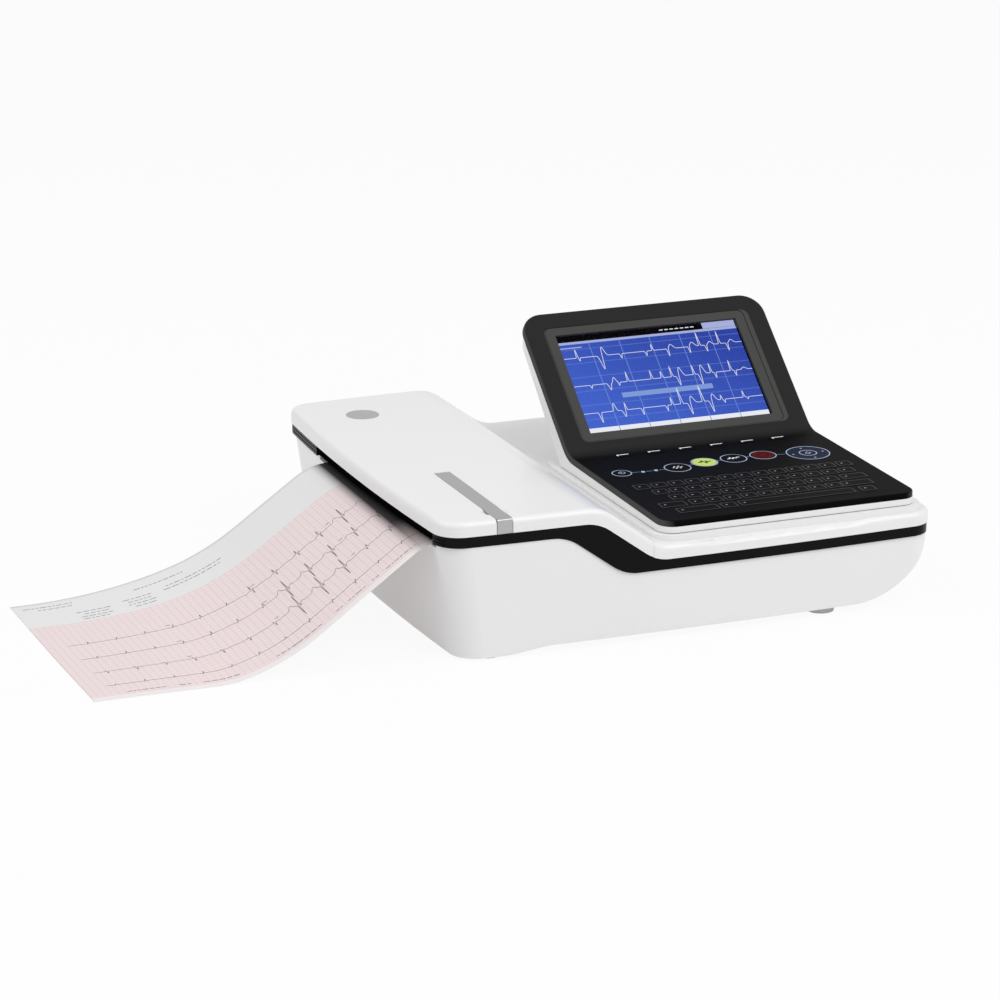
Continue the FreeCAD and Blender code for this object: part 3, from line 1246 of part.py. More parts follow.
def writer_frame():
    """Side plates and gearbox plate, joined by a beam under the roller and by feet on the floor."""
    bearing = rod(BUSH_RADIUS + RUNNING_FIT, PLATEN_X, FRAME_FRONT_Y - SPARE, PLATEN_Z, Y_DIR,
                  FRAME_BACK_Y - FRAME_FRONT_Y + 2 * SPARE)
    motor_hole = rod(MOTOR_BOSS_RADIUS + FIT, PINION_X, GEARBOX_Y - SPARE, PINION_Z, Y_DIR, 2 * SPARE)
    front = frame_plate(FRAME_FRONT_Y, PLATEN_X + FRAME_FRONT_LENGTH, [bearing])
    back = frame_plate(FRAME_BACK_Y, GEARBOX_END, [bearing])
    gearbox = frame_plate(GEARBOX_Y, GEARBOX_END, [motor_hole])
    beam = box(BEAM_X0, BEAM_X1, FRAME_FRONT_Y, FRAME_BACK_Y + PLATE,
               FRAME_LOW_Z - BEAM_HEIGHT, FRAME_LOW_Z)
    tie = box(BEAM_X1, GEARBOX_END, FRAME_BACK_Y, GEARBOX_Y + PLATE,
              FLOOR_LEFT_Z, FLOOR_LEFT_Z + 2 * PLATE)
    stud = rod(IDLER_STUD_RADIUS, IDLER_X, FRAME_BACK_Y, IDLER_Z, Y_DIR, GEARBOX_Y + PLATE - FRAME_BACK_Y)
    return fuse(front, back, gearbox, beam, tie, stud).cut(BOTTOM_LINE.moved(WALL + SEAM).below())


def stepper_motor():
    y0 = GEARBOX_Y + PLATE
    body = rod(MOTOR_RADIUS, PINION_X, y0, PINION_Z, Y_DIR, MOTOR_LENGTH)
    boss = rod(MOTOR_BOSS_RADIUS, PINION_X, y0 - PLATE, PINION_Z, Y_DIR, 2 * PLATE)
    reach = MOTOR_RADIUS + MOTOR_EAR
    ears = box(PINION_X - reach, PINION_X + reach, y0, y0 + MOTOR_EAR_THICKNESS, PINION_Z - MOTOR_EAR,
               PINION_Z + MOTOR_EAR)
    bore = rod(MOTOR_SHAFT_RADIUS + RUNNING_FIT, PINION_X, y0 - SPARE, PINION_Z, Y_DIR,
               GEAR_Y + MOTOR_SHAFT_LENGTH + MOTOR_BOSS_RADIUS - y0 + SPARE)
    return fuse(body, boss, ears).cut(bore)


def motor_pinion(phase):
    wheel = gear(PINION_TEETH, PINION_X, GEAR_Y, PINION_Z, 0.0, phase)
    return fuse(wheel, rod(MOTOR_SHAFT_RADIUS, PINION_X, GEAR_Y, PINION_Z, Y_DIR, MOTOR_SHAFT_LENGTH))


def paper_tray():
    outer = box(TRAY_X0, TRAY_X1, TRAY_Y0 - TRAY_WALL, TRAY_Y1 + TRAY_WALL,
                TRAY_Z, TRAY_Z + TRAY_HEIGHT)
    inner = box(TRAY_X0 + TRAY_WALL, TRAY_X1 - TRAY_WALL, TRAY_Y0, TRAY_Y1, TRAY_Z + TRAY_WALL,
                TRAY_Z + TRAY_HEIGHT + SPARE)
    foot_end = BOTTOM_LINE.mid_x - BOTTOM_LINE.half_run - TRAY_WALL
    block = box(TRAY_X0 + TRAY_BLOCK_INSET, foot_end, TRAY_Y0 + TRAY_BLOCK_INSET, TRAY_Y1 - TRAY_BLOCK_INSET,
                FLOOR_LEFT_Z, TRAY_Z + TRAY_WALL / 2)
    return fuse(outer.cut(inner), block)


def paper_pack():
    x0 = TRAY_X0 + TRAY_WALL + PACK_GAP
    z0 = TRAY_Z + TRAY_WALL
    return box(x0, x0 + PAPER_FOLD, PAPER_Y0, PAPER_Y1, z0, z0 + PACK_HEIGHT)


def heading(angle):
    """Travel direction and upward normal of a sheet that runs to the left and dips by an angle."""
    turn = math.radians(angle)
    return V(-math.cos(turn), 0, -math.sin(turn)), V(-math.sin(turn), 0, math.cos(turn))


def sheet_line(lift):
    """Side view of the page: level over the roller, arching out of the slot, easing onto the table."""
    steep = math.radians(SHEET_STEEP)
    ease = math.radians(SHEET_EASE)
    arcs_drop = (SHEET_BEND * (1 - math.cos(steep)) + SHEET_SAG * (math.cos(ease) - math.cos(steep))
                 + SHEET_SETTLE * (1 - math.cos(ease)))
    fall = (SHEET_Z - SHEET_REST_Z - arcs_drop) / math.sin(steep)
    turns = [(SHEET_BEND, 0.0, SHEET_STEEP), (SHEET_SAG, SHEET_STEEP, SHEET_EASE),
             (SHEET_SETTLE, SHEET_EASE, 0.0)]
    runs = [fall, 0.0, SHEET_TAIL]
    start = V(SHEET_START_X, PAPER_Y0, SHEET_Z + lift)
    point = V(SHEET_EXIT_X, start.y, start.z)
    edges = [Part.makeLine(start, point)]
    for (radius, dip0, dip1), run in zip(turns, runs):
        side = 1.0 if dip1 > dip0 else -1.0
        reach = radius + side * lift
        centre = point - heading(dip0)[1] * (side * reach)
        middle = centre + heading((dip0 + dip1) / 2)[1] * (side * reach)
        end = centre + heading(dip1)[1] * (side * reach)
        edges.append(Part.Arc(point, middle, end).toShape())
        point = end
        if run > 0:
            end = point + heading(dip1)[0] * run
            edges.append(Part.makeLine(point, end))
            point = end
    return edges


def printed_sheet():
    lower = sheet_line(0.0)
    upper = sheet_line(PAPER_THICKNESS)
    ends = [Part.makeLine(lower[i].Vertexes[i].Point, upper[i].Vertexes[i].Point) for i in (0, -1)]
    face = Part.Face(Part.Wire(Part.__sortEdges__(lower + upper + ends)))
    return face.extrude(V(0, PAPER_WIDTH, 0))


def foot(x, y, top):
    return Part.makeCone(FOOT_RADIUS - FOOT_TAPER, FOOT_RADIUS, top, V(x, y, 0), Z_DIR)


def socket_block(x, size, shrink, front, back):
    """Upright block round a socket's axis, between two distances behind the back panel's face."""
    width = size[0] - 2 * shrink
    height = size[1] - 2 * shrink
    return box(x - width / 2, x + width / 2, BACK_FACE_Y - back, BACK_FACE_Y - front, SOCKET_Z - height / 2,
               SOCKET_Z + height / 2)


def socket_body(x, size):
    return socket_block(x, size, FIT, -SOCKET_PROUD, size[2])


def socket_well(x, size):
    return socket_block(x, size, 0.0, -SPARE, size[2])


def back_plate():
    plate = box(BACK_PLATE_X0 + FIT, BACK_PLATE_X1 - FIT, BACK_PLATE_Y, BACK_FACE_Y, BACK_PLATE_Z0 + FIT,
                BACK_PLATE_Z1 - FIT)
    sockets = ((INLET_X, INLET_SIZE), (NETWORK_X, NETWORK_SIZE), (USB_X, USB_SIZE),
               (PATIENT_X, PATIENT_SIZE))
    holes = [socket_block(x, size, 0.0, -SPARE, SPARE) for x, size in sockets]
    holes.append(rod(EARTH_PIN_RADIUS + FIT, EARTH_PIN_X, BACK_PLATE_Y - SPARE, SOCKET_Z, Y_DIR, 2 * SPARE))
    return plate.cut(holes)


def mains_inlet():
    """Appliance inlet with three blades at the bottom of its well."""
    width, height, length = INLET_BLADE
    y0 = BACK_FACE_Y - INLET_WELL[2] - BACK_PLATE_THICKNESS
    blades = [box(INLET_X + dx - width / 2, INLET_X + dx + width / 2, y0, y0 + length,
                  SOCKET_Z + dz - height / 2, SOCKET_Z + dz + height / 2) for dx, dz in INLET_BLADE_SPOTS]
    return fuse(socket_body(INLET_X, INLET_SIZE).cut(socket_well(INLET_X, INLET_WELL)), *blades)


def network_port():
    return socket_body(NETWORK_X, NETWORK_SIZE).cut(socket_well(NETWORK_X, NETWORK_WELL))


def usb_ports():
    """Two stacked sockets, each with its tongue."""
    block = socket_body(USB_X, USB_SIZE)
    width, thickness, length = USB_TONGUE
    y0 = BACK_FACE_Y - USB_WELL[2] - BACK_PLATE_THICKNESS
    for side in (-1, 1):
        well = socket_well(USB_X, USB_WELL)
        well.translate(V(0, 0, side * USB_SPACING / 2))
        z = SOCKET_Z + side * USB_SPACING / 2 + USB_TONGUE_RISE
        tongue = box(USB_X - width / 2, USB_X + width / 2, y0, y0 + length,
                     z - thickness / 2, z + thickness / 2)
        block = block.cut(well).fuse(tongue)
    return block.removeSplitter()


def patient_connector():
    """Fifteen-way socket with its raised shell."""
    _, height, rise = PATIENT_SHELL
    shell = socket_block(PATIENT_X, PATIENT_SHELL, 0.0, -rise, 0.0)
    shell = shell.makeFillet(height / 4, edges_along(shell, Y_DIR))
    face_y = BACK_FACE_Y + SOCKET_PROUD
    holes = []
    for row, count in enumerate(PATIENT_COUNTS):
        z = SOCKET_Z + PATIENT_ROW_RISE * (1 - 2 * row)
        for i in range(count):
            x = PATIENT_X + (i - (count - 1) / 2) * PATIENT_PITCH
            holes.append(hexagon(PATIENT_HOLE_RADIUS, x, face_y, z, Y_DIR, SPARE))
    return fuse(socket_body(PATIENT_X, PATIENT_SIZE), shell).cut(holes)


def equipotential_pin():
    flange = rod(EARTH_FLANGE_RADIUS, EARTH_PIN_X, BACK_FACE_Y, SOCKET_Z, Y_DIR, EARTH_FLANGE_THICKNESS)
    tail_y = BACK_FACE_Y - EARTH_PIN_TAIL
    length = EARTH_PIN_TAIL + EARTH_FLANGE_THICKNESS + EARTH_PIN_LENGTH
    return fuse(flange, rod(EARTH_PIN_RADIUS, EARTH_PIN_X, tail_y, SOCKET_Z, Y_DIR, length))


def build():
    shell = upper_shell()
    platen_phase, idler_phase, pinion_phase = tooth_phases()
    idler_bore = IDLER_STUD_RADIUS + RUNNING_FIT
    parts = {
        "lower_housing": lower_housing(),
        "trim_band": trim_band(),
        "upper_housing": upper_housing(shell),
        "writer_door": writer_door(shell),
        "door_badge": door_badge(),
        "print_head": print_head(),
        "head_bracket": head_bracket(),
        "tear_bar": tear_bar(),
        "latch_lever": latch_lever(),
        "console_shell": console_shell(),
        "console_gasket": console_gasket(),
        "console_panel": console_panel(),
        "display_bezel": display_bezel(),
        "display_window": display_window(),
        "lcd_module": lcd_module(),
        "keypad_mat": keypad_mat(),
        "keypad_board": keypad_board(),
        "status_leds": status_leds(),
        "nav_pad": nav_pad(),
        "nav_select": round_key(NAV_X, NAV_Y, NAV_SELECT_DIAMETER),
        "battery_hatch": battery_hatch(),
        "battery_pack": battery_pack(),
        "main_board": main_board(),
        "power_supply": power_supply(),
        "back_plate": back_plate(),
        "mains_inlet": mains_inlet(),
        "network_port": network_port(),
        "usb_ports": usb_ports(),
        "patient_connector": patient_connector(),
        "equipotential_pin": equipotential_pin(),
        "writer_frame": writer_frame(),
        "platen_bush_front": bush(FRAME_FRONT_Y),
        "platen_bush_back": bush(FRAME_BACK_Y),
        "platen_shaft": platen_shaft(),
        "platen_roller": platen_roller(),
        "platen_gear": gear(PLATEN_TEETH, PLATEN_X, GEAR_Y, PLATEN_Z, SHAFT_RADIUS, platen_phase),
        "idler_gear": gear(IDLER_TEETH, IDLER_X, GEAR_Y, IDLER_Z, idler_bore, idler_phase),
        "motor_pinion": motor_pinion(pinion_phase),
        "stepper_motor": stepper_motor(),
        "paper_tray": paper_tray(),
        "paper_pack": paper_pack(),
        "printed_sheet": printed_sheet(),
    }
    for name, (x, y, diameter) in FUNCTION_KEYS.items():
        parts[name] = round_key(x, y, diameter)
    for i in range(SOFTKEY_COUNT):
        parts["softkey_%d" % (i + 1)] = key_place(softkey_pad(i, 0.0, -KEY_STEM, KEY_PROUD))
    for side, inset in HINGE_INSETS.items():
        parts["hinge_bracket_" + side] = hinge_bracket(LEFT + inset)
    for end, y in (("front", FOOT_FRONT_Y), ("back", FOOT_BACK_Y)):
        parts["foot_%s_left" % end] = foot(FOOT_LEFT_X, y, BOTTOM_LEFT_Z)
        parts["foot_%s_right" % end] = foot(FOOT_RIGHT_X, y, BOTTOM_RIGHT_Z)
    return parts


os.makedirs("parts", exist_ok=True)
for node, shape in build().items():
    shape.exportStep("parts/" + node + ".step")
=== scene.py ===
"""Looks of a desktop ECG recorder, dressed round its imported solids."""

import functools
import logging
import math
from collections.abc import Callable, Iterator, Sequence
from dataclasses import dataclass
from enum import Enum

import bpy
import numpy as np
from mathutils import Matrix, Vector


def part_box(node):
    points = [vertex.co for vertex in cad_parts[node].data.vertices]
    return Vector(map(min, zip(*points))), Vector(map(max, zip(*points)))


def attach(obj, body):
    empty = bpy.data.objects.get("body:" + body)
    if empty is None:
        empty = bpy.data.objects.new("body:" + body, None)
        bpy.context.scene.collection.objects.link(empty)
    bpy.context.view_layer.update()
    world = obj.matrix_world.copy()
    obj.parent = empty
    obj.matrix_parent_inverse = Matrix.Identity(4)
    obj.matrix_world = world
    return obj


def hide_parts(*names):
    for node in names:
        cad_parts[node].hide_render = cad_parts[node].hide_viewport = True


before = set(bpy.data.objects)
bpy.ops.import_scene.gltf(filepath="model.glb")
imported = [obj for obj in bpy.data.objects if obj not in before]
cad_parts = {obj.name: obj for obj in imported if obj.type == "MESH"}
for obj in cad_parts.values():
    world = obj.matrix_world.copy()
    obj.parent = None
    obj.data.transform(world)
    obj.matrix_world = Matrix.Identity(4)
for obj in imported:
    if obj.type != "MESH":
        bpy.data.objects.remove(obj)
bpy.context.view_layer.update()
LOG = logging.getLogger("ecg_recorder")
MM = 0.001
TINY = 1e-9
MITRE_LIMIT = 0.45
INK_DEPTH = 0.06
THIN_INK = 0.04

Colour = tuple[float, float, float]
Point = tuple[float, float, float]
Spot = tuple[float, float]
Place = Callable[[np.ndarray, float], np.ndarray]

CONSOLE_BEND: Point = (78.5, 8.9, 87.2)
KEY_TILT = 0.9
DISPLAY_TILT = 40.4


def srgb(red: int, green: int, blue: int) -> Colour:
    """Turns a screen colour into the linear one that shaders take.

    Args:
        red: Red level, 0 to 255.
        green: Green level, 0 to 255.
        blue: Blue level, 0 to 255.

    Returns:
        The linear colour.
    """
    levels = np.array([red, green, blue]) / 255
    linear = np.where(levels <= 0.04045, levels / 12.92, ((levels + 0.055) / 1.055) ** 2.4)
    return tuple(float(level) for level in linear)


def operator(operation: str, reflected: bool = False) -> Callable[["Wire", "Wire | float"], "Wire"]:
    """Makes an operator of Wire that adds one Math node.

    Args:
        operation: The node's operation.
        reflected: True where the wire is the second value.

    Returns:
        The operator.
    """
    def apply(wire: "Wire", other: "Wire | float") -> "Wire":
        """Adds the node and returns its result."""
        first, second = (other, wire) if reflected else (wire, other)
        return wire.paint.add("ShaderNodeMath", {"operation": operation}, {0: first, 1: second})

    return apply


class Wire:
    """Output socket of a node; arithmetic on it adds Math nodes, and a comparison gives one or nought."""

    __add__ = operator("ADD")
    __radd__ = operator("ADD", True)
    __sub__ = operator("SUBTRACT")
    __rsub__ = operator("SUBTRACT", True)
    __mul__ = operator("MULTIPLY")
    __truediv__ = operator("DIVIDE")
    __gt__ = operator("GREATER_THAN")
    __lt__ = operator("LESS_THAN")

    def __init__(self, paint: "Paint", socket: bpy.types.NodeSocket) -> None:
        """Keeps the node tree and the socket."""
        self.paint = paint
        self.socket = socket

    def __abs__(self) -> "Wire":
        """Size without sign."""
        return self.math("ABSOLUTE")

    def math(self, operation: str, *terms: "Wire | float") -> "Wire":
        """Adds one Math node.

        Args:
            operation: The node's operation.
            terms: What follows this value in the node's sockets.

        Returns:
            The node's result.
        """
        return self.paint.add("ShaderNodeMath", {"operation": operation}, dict(enumerate((self, *terms))))

    def either(self, other: "Wire") -> "Wire":
        """The larger of two masks."""
        return self.math("MAXIMUM", other)

    def between(self) -> "Wire":
        """This value, held between nought and one."""
        return self.math("MAXIMUM", 0.0).math("MINIMUM", 1.0)

    def ruled(self, pitch: float, width: float) -> "Wire":
        """Mask of lines across this coordinate.

        Args:
            pitch: Distance between lines.
            width: Width of a line.

        Returns:
            One on the lines, nought between them.
        """
        return abs((self / pitch).math("FRACT") - 0.5) < width / pitch / 2


class Paint:
    """Node tree of one material; every node comes from its add method."""

    def __init__(self, owner: bpy.types.Material | bpy.types.World) -> None:
        """Clears the owner's tree.

        Args:
            owner: The material or the world.
        """
        owner.use_nodes = True
        self.material = owner
        self.tree = owner.node_tree
        self.tree.nodes.clear()

    @classmethod
    def named(cls, name: str) -> "Paint":
        """Starts a new material of that name."""
        return cls(bpy.data.materials.new(name))

    def add(self, kind: str, settings: dict | None = None, sockets: dict | None = None, out: int | str = 0) -> Wire:
        """Adds a node.

        Args:
            kind: The node's type.
            settings: The node's own settings, set before its sockets.
            sockets: Values or wires for its inputs, by name or number.
            out: The output to return.

        Returns:
            That output.
        """
        node = self.tree.nodes.new(kind)
        for name, value in (settings or {}).items():
            setattr(node, name, value)
        for key, value in (sockets or {}).items():
            if isinstance(value, Wire):
                self.tree.links.new(value.socket, node.inputs[key])
            else:
                node.inputs[key].default_value = value
        return Wire(self, node.outputs[out])

    def position(self) -> Wire:
        """Object coordinates."""
        return self.add("ShaderNodeTexCoord", out="Object")

    def noise(self, size: float, stretch: Point = (1.0, 1.0, 1.0), detail: float = 2.0) -> Wire:
        """Noise over the object.

        Args:
            size: Size of a grain in metres.
            stretch: How much finer the grain is along each axis.
            detail: Number of finer layers.

        Returns:
            A value round a half.
        """
        scale = tuple(share / size for share in stretch)
        place = self.add("ShaderNodeMapping", None, {"Vector": self.position(), "Scale": scale})
        return self.add("ShaderNodeTexNoise", None, {"Vector": place, "Scale": 1.0, "Detail": detail})

    def axes(self, source: Wire) -> tuple[Wire, Wire, Wire]:
        """The three parts of a vector."""
        node = self.add("ShaderNodeSeparateXYZ", None, {0: source}).socket.node
        return tuple(Wire(self, socket) for socket in node.outputs)

    def mix(self, share: Wire, first: "Colour | Wire", second: "Colour | Wire") -> Wire:
        """Blends two colours.

        Args:
            share: Nought for the first colour, one for the second.
            first: Colour or wire.
            second: Colour or wire.

        Returns:
            The blended colour.
        """
        ends = {6: first, 7: second}
        sockets = {key: value if isinstance(value, Wire) else (*value, 1.0) for key, value in ends.items()}
        return self.add("ShaderNodeMix", {"data_type": "RGBA"}, {0: share, **sockets}, 2)

    def facing(self) -> tuple[Wire, Wire, Wire]:
        """The three parts of the direction that the surface faces."""
        return self.axes(self.add("ShaderNodeTexCoord", out="Normal"))

    def bump(self, height: Wire, depth: float) -> Wire:
        """Normal of a relief.

        Args:
            height: Height from nought to one.
            depth: What a height of one means in metres.

        Returns:
            The normal.
        """
        return self.add("ShaderNodeBump", None, {"Height": height, "Distance": depth, "Strength": 1.0})

    def principled(self, sockets: dict) -> bpy.types.Material:
        """Closes the tree with a Principled shader.

        Args:
            sockets: Values or wires for the shader's inputs.

        Returns:
            The material.
        """
        values = {key: (*value, 1.0) if isinstance(value, tuple) and len(value) == 3 else value
                  for key, value in sockets.items()}
        return self.close(self.add("ShaderNodeBsdfPrincipled", None, values))

    def close(self, shader: Wire) -> bpy.types.Material:
        """Links a shader to the output and returns the material."""
        self.end("ShaderNodeOutputMaterial", shader)
        return self.material

    def end(self, kind: str, shader: Wire) -> None:
        """Adds an output node, which has no outputs of its own, after a shader."""
        output = self.tree.nodes.new(kind)
        self.tree.links.new(shader.socket, output.inputs["Surface"])


class Axis(Enum):
    """Direction of a metal's grain, as how much finer the lines are along each axis."""

    X = (0.02, 1.0, 1.0)
    Y = (1.0, 0.02, 1.0)
    ROUND = (1.0, 1.0, 1.0)


@dataclass(frozen=True)
class Moulded:
    """Moulded plastic or rubber: faint mottle, fine surface grain and uneven gloss; sizes in millimetres."""

    name: str
    colour: Colour
    roughness: float
    grain: float
    relief: float
    mottle: float
    specular: float
    coat: float = 0.0
    coat_roughness: float = 0.05
    patch: float = 60.0
    gloss_spread: float = 0.15

    def paint(self) -> bpy.types.Material:
        """Makes the material.

        Returns:
            The material with its nodes.
        """
        paint = Paint.named(self.name)
        broad = paint.noise(self.patch * MM)
        grain = paint.noise(self.grain * MM)
        darker = tuple(level * (1 - 2 * self.mottle) for level in self.colour)
        lighter = tuple(min(1.0, level * (1 + self.mottle)) for level in self.colour)
        return paint.principled({
            "Base Color": paint.mix(broad, darker, lighter),
            "Roughness": self.roughness * (1 - self.gloss_spread) + grain * (self.roughness * 2 * self.gloss_spread),
            "Normal": paint.bump(grain, self.relief * MM),
            "Specular IOR Level": self.specular,
            "Coat Weight": self.coat,
            "Coat Roughness": self.coat_roughness,
        })


@dataclass(frozen=True)
class PanelFilm:
    """Matt film over the console's face, black round the keys, charcoal round the screen, with a painted sheen of grey
    on its side walls.
    """

    name: str
    keys: Colour
    # painted sheen: the lighter grey that the side walls take where they catch light
    screen: Colour
    rim: Colour
    bend: float = 4.0
    blend: float = 14.0
    sheen_turn: float = 0.2
    sheen_blend: float = 0.6
    grain: float = 0.4
    relief: float = 0.005
    roughness: float = 0.45
    uneven: float = 0.12
    specular: float = 0.02

    def paint(self) -> bpy.types.Material:
        """Makes the material.

        Returns:
            The material with its nodes.
        """
        paint = Paint.named(self.name)
        _, y, _ = paint.axes(paint.position())
        sideways, _, _ = paint.facing()
        grain = paint.noise(self.grain * MM)
        tone = paint.mix((y - self.bend * MM) / (self.blend * MM) + 0.5, self.keys, self.screen)
        # painted sheen: faces that turn sideways take the lighter grey
        with_sheen = paint.mix(((abs(sideways) - self.sheen_turn) / self.sheen_blend).between(), tone, self.rim)
        return paint.principled({
            "Base Color": paint.mix(grain * self.uneven, with_sheen, self.keys),
            "Roughness": self.roughness + grain * self.uneven,
            "Normal": paint.bump(grain, self.relief * MM),
            "Specular IOR Level": self.specular,
        })


@dataclass(frozen=True)
class Metal:
    """Bare metal with drawn or turned lines."""

    name: str
    colour: Colour
    roughness: float
    line: float
    axis: Axis
    relief: float = 0.003
    stain: float = 25.0
    stain_share: float = 0.3
    dulling: float = 0.82
    gloss_spread: float = 0.3

    def paint(self) -> bpy.types.Material:
        """Makes the material.

        Returns:
            The material with its nodes.
        """
        paint = Paint.named(self.name)
        lines = paint.noise(self.line * MM, self.axis.value, 4.0)
        stains = paint.noise(self.stain * MM)
        dull = tuple(level * self.dulling for level in self.colour)
        return paint.principled({
            "Base Color": paint.mix(lines * (1 - self.stain_share) + stains * self.stain_share, dull, self.colour),
            "Metallic": 1.0,
            "Roughness": self.roughness * (1 - self.gloss_spread) + lines * (self.roughness * 2 * self.gloss_spread),
            "Normal": paint.bump(lines, self.relief * MM),
        })


@dataclass(frozen=True)
class ClearGlass:
    """Coated cover glass: nearly clear, with a trace of gloss and wiping marks."""

    name: str
    tint: Colour = (0.003, 0.003, 0.004)
    cover: float = 0.02
    smear: float = 12.0
    smear_shape: Point = (0.3, 1.0, 1.0)
    smear_cover: float = 0.02
    roughness: float = 0.03
    smear_roughness: float = 0.06
    specular: float = 0.25

    def paint(self) -> bpy.types.Material:
        """Makes the material.

        Returns:
            The material with its nodes.
        """
        paint = Paint.named(self.name)
        wiped = paint.noise(self.smear * MM, self.smear_shape, 3.0)
        return paint.principled({
            "Base Color": self.tint,
            "Roughness": self.roughness + wiped * self.smear_roughness,
            "Alpha": self.cover + wiped * self.smear_cover,
            "Specular IOR Level": self.specular,
        })


@dataclass(frozen=True)
class Lit:
    """Lit ink on the screen, or a light guide that glows."""

    name: str
    colour: Colour
    strength: float = 1.0
    uneven: float = 0.06
    unlit: Colour = (0.001, 0.001, 0.0012)
    cell: float = 1.5
    roughness: float = 0.4
    cell_roughness: float = 0.1

    def paint(self) -> bpy.types.Material:
        """Makes the material.

        Returns:
            The material with its nodes.
        """
        paint = Paint.named(self.name)
        cells = paint.noise(self.cell * MM)
        dim = tuple(level * (1 - self.uneven) for level in self.colour)
        return paint.principled({
            "Base Color": self.unlit,
            "Roughness": self.roughness + cells * self.cell_roughness,
            "Emission Color": paint.mix(cells, dim, self.colour),
            "Emission Strength": self.strength,
            "Specular IOR Level": 0.0,
        })


@dataclass(frozen=True)
class ScreenField:
    """Lit screen: a blue field that falls off to one corner, ruled by pale lines."""

    name: str
    centre: Point
    tilt: float
    width: float
    near_blue: Colour = srgb(62, 98, 206)
    far_blue: Colour = srgb(36, 62, 164)
    line_blue: Colour = srgb(112, 142, 216)
    unlit: Colour = (0.01, 0.01, 0.015)
    fall_across: float = 0.35
    fall_along: float = 0.6
    columns: int = 6
    column_line: float = 0.7
    row_pitch: float = 13.0
    row_line: float = 0.6
    row_share: float = 0.6
    line_share: float = 0.8
    cell: float = 2.0
    roughness: float = 0.35
    cell_roughness: float = 0.1
    specular: float = 0.02

    def paint(self) -> bpy.types.Material:
        """Makes the material.

        Returns:
            The material with its nodes.
        """
        paint = Paint.named(self.name)
        local = paint.add("ShaderNodeMapping", {"vector_type": "TEXTURE"}, {
            "Vector": paint.position(),
            "Location": tuple(part * MM for part in self.centre),
            "Rotation": (math.radians(self.tilt), 0.0, 0.0),
        })
        across, along, _ = paint.axes(local)
        half = self.width * MM / 2
        fall = 0.5 + across * (self.fall_across / half) + along * (self.fall_along / half)
        field = paint.mix(fall, self.near_blue, self.far_blue)
        column = self.width * MM / self.columns
        upright = (across + column / 2).ruled(column, self.column_line * MM)
        level = along.ruled(self.row_pitch * MM, self.row_line * MM) * self.row_share
        return paint.principled({
            "Base Color": self.unlit,
            "Roughness": self.roughness + paint.noise(self.cell * MM) * self.cell_roughness,
            "Emission Color": paint.mix(upright.either(level) * self.line_share, field, self.line_blue),
            "Emission Strength": 1.0,
            "Specular IOR Level": self.specular,
        })


@dataclass(frozen=True)
class ChartPaper:
    """Thermal chart paper: pale strip, ruled pink chart, white margin, painted shade at the slot, by its own flat map.
    """

    name: str
    margin: float
    chart_end: float
    white: Colour = srgb(227, 227, 228)
    pink: Colour = srgb(236, 224, 224)
    fine_line: Colour = srgb(228, 209, 210)
    bold_line: Colour = srgb(218, 191, 194)
    edge: Colour = srgb(235, 228, 229)
    # painted shade at the slot: its colour, where it ends along the page, how long it fades and how much it weakens
    # towards the front edge
    shade: Colour = srgb(34, 31, 32)
    shade_end: float = 43.0
    shade_length: float = 10.5
    shade_width: float = 90.0
    shade_front: float = 0.3
    fine: Spot = (1.0, 0.22)
    bold: Spot = (5.0, 0.4)
    fibre: float = 0.9
    relief: float = 0.01
    roughness: float = 0.5
    fibre_roughness: float = 0.2
    specular: float = 0.3

    def net(self, along: Wire, across: Wire, ruling: Spot) -> Wire:
        """Mask of a square net of lines, from the pitch and the width of its lines."""
        pitch, width = ruling[0] * MM, ruling[1] * MM
        return along.ruled(pitch, width).either(across.ruled(pitch, width))

    def paint(self) -> bpy.types.Material:
        """Makes the material.

        Returns:
            The material with its nodes.
        """
        paint = Paint.named(self.name)
        along, across, _ = paint.axes(paint.add("ShaderNodeTexCoord", out="UV"))
        chart = (across > self.margin * MM) * (across < self.chart_end * MM)
        fine = self.net(along, across, self.fine)
        bold = self.net(along, across, self.bold)
        ruled = paint.mix(bold, paint.mix(fine, self.pink, self.fine_line), self.bold_line)
        fibre = paint.noise(self.fibre * MM, detail=4.0)
        plain = paint.mix(across > self.chart_end * MM, self.edge, self.white)
        # painted shade: the paper darkens towards the slot under the door, and less so near its front edge
        dark = ((self.shade_end * MM - along) / (self.shade_length * MM)).between()
        inward = (across / (self.shade_width * MM) + self.shade_front).between()
        return paint.principled({
            "Base Color": paint.mix(dark * dark * inward, paint.mix(chart, plain, ruled), self.shade),
            "Roughness": self.roughness + fibre * self.fibre_roughness,
            "Normal": paint.bump(fibre, self.relief * MM),
            "Specular IOR Level": self.specular,
        })


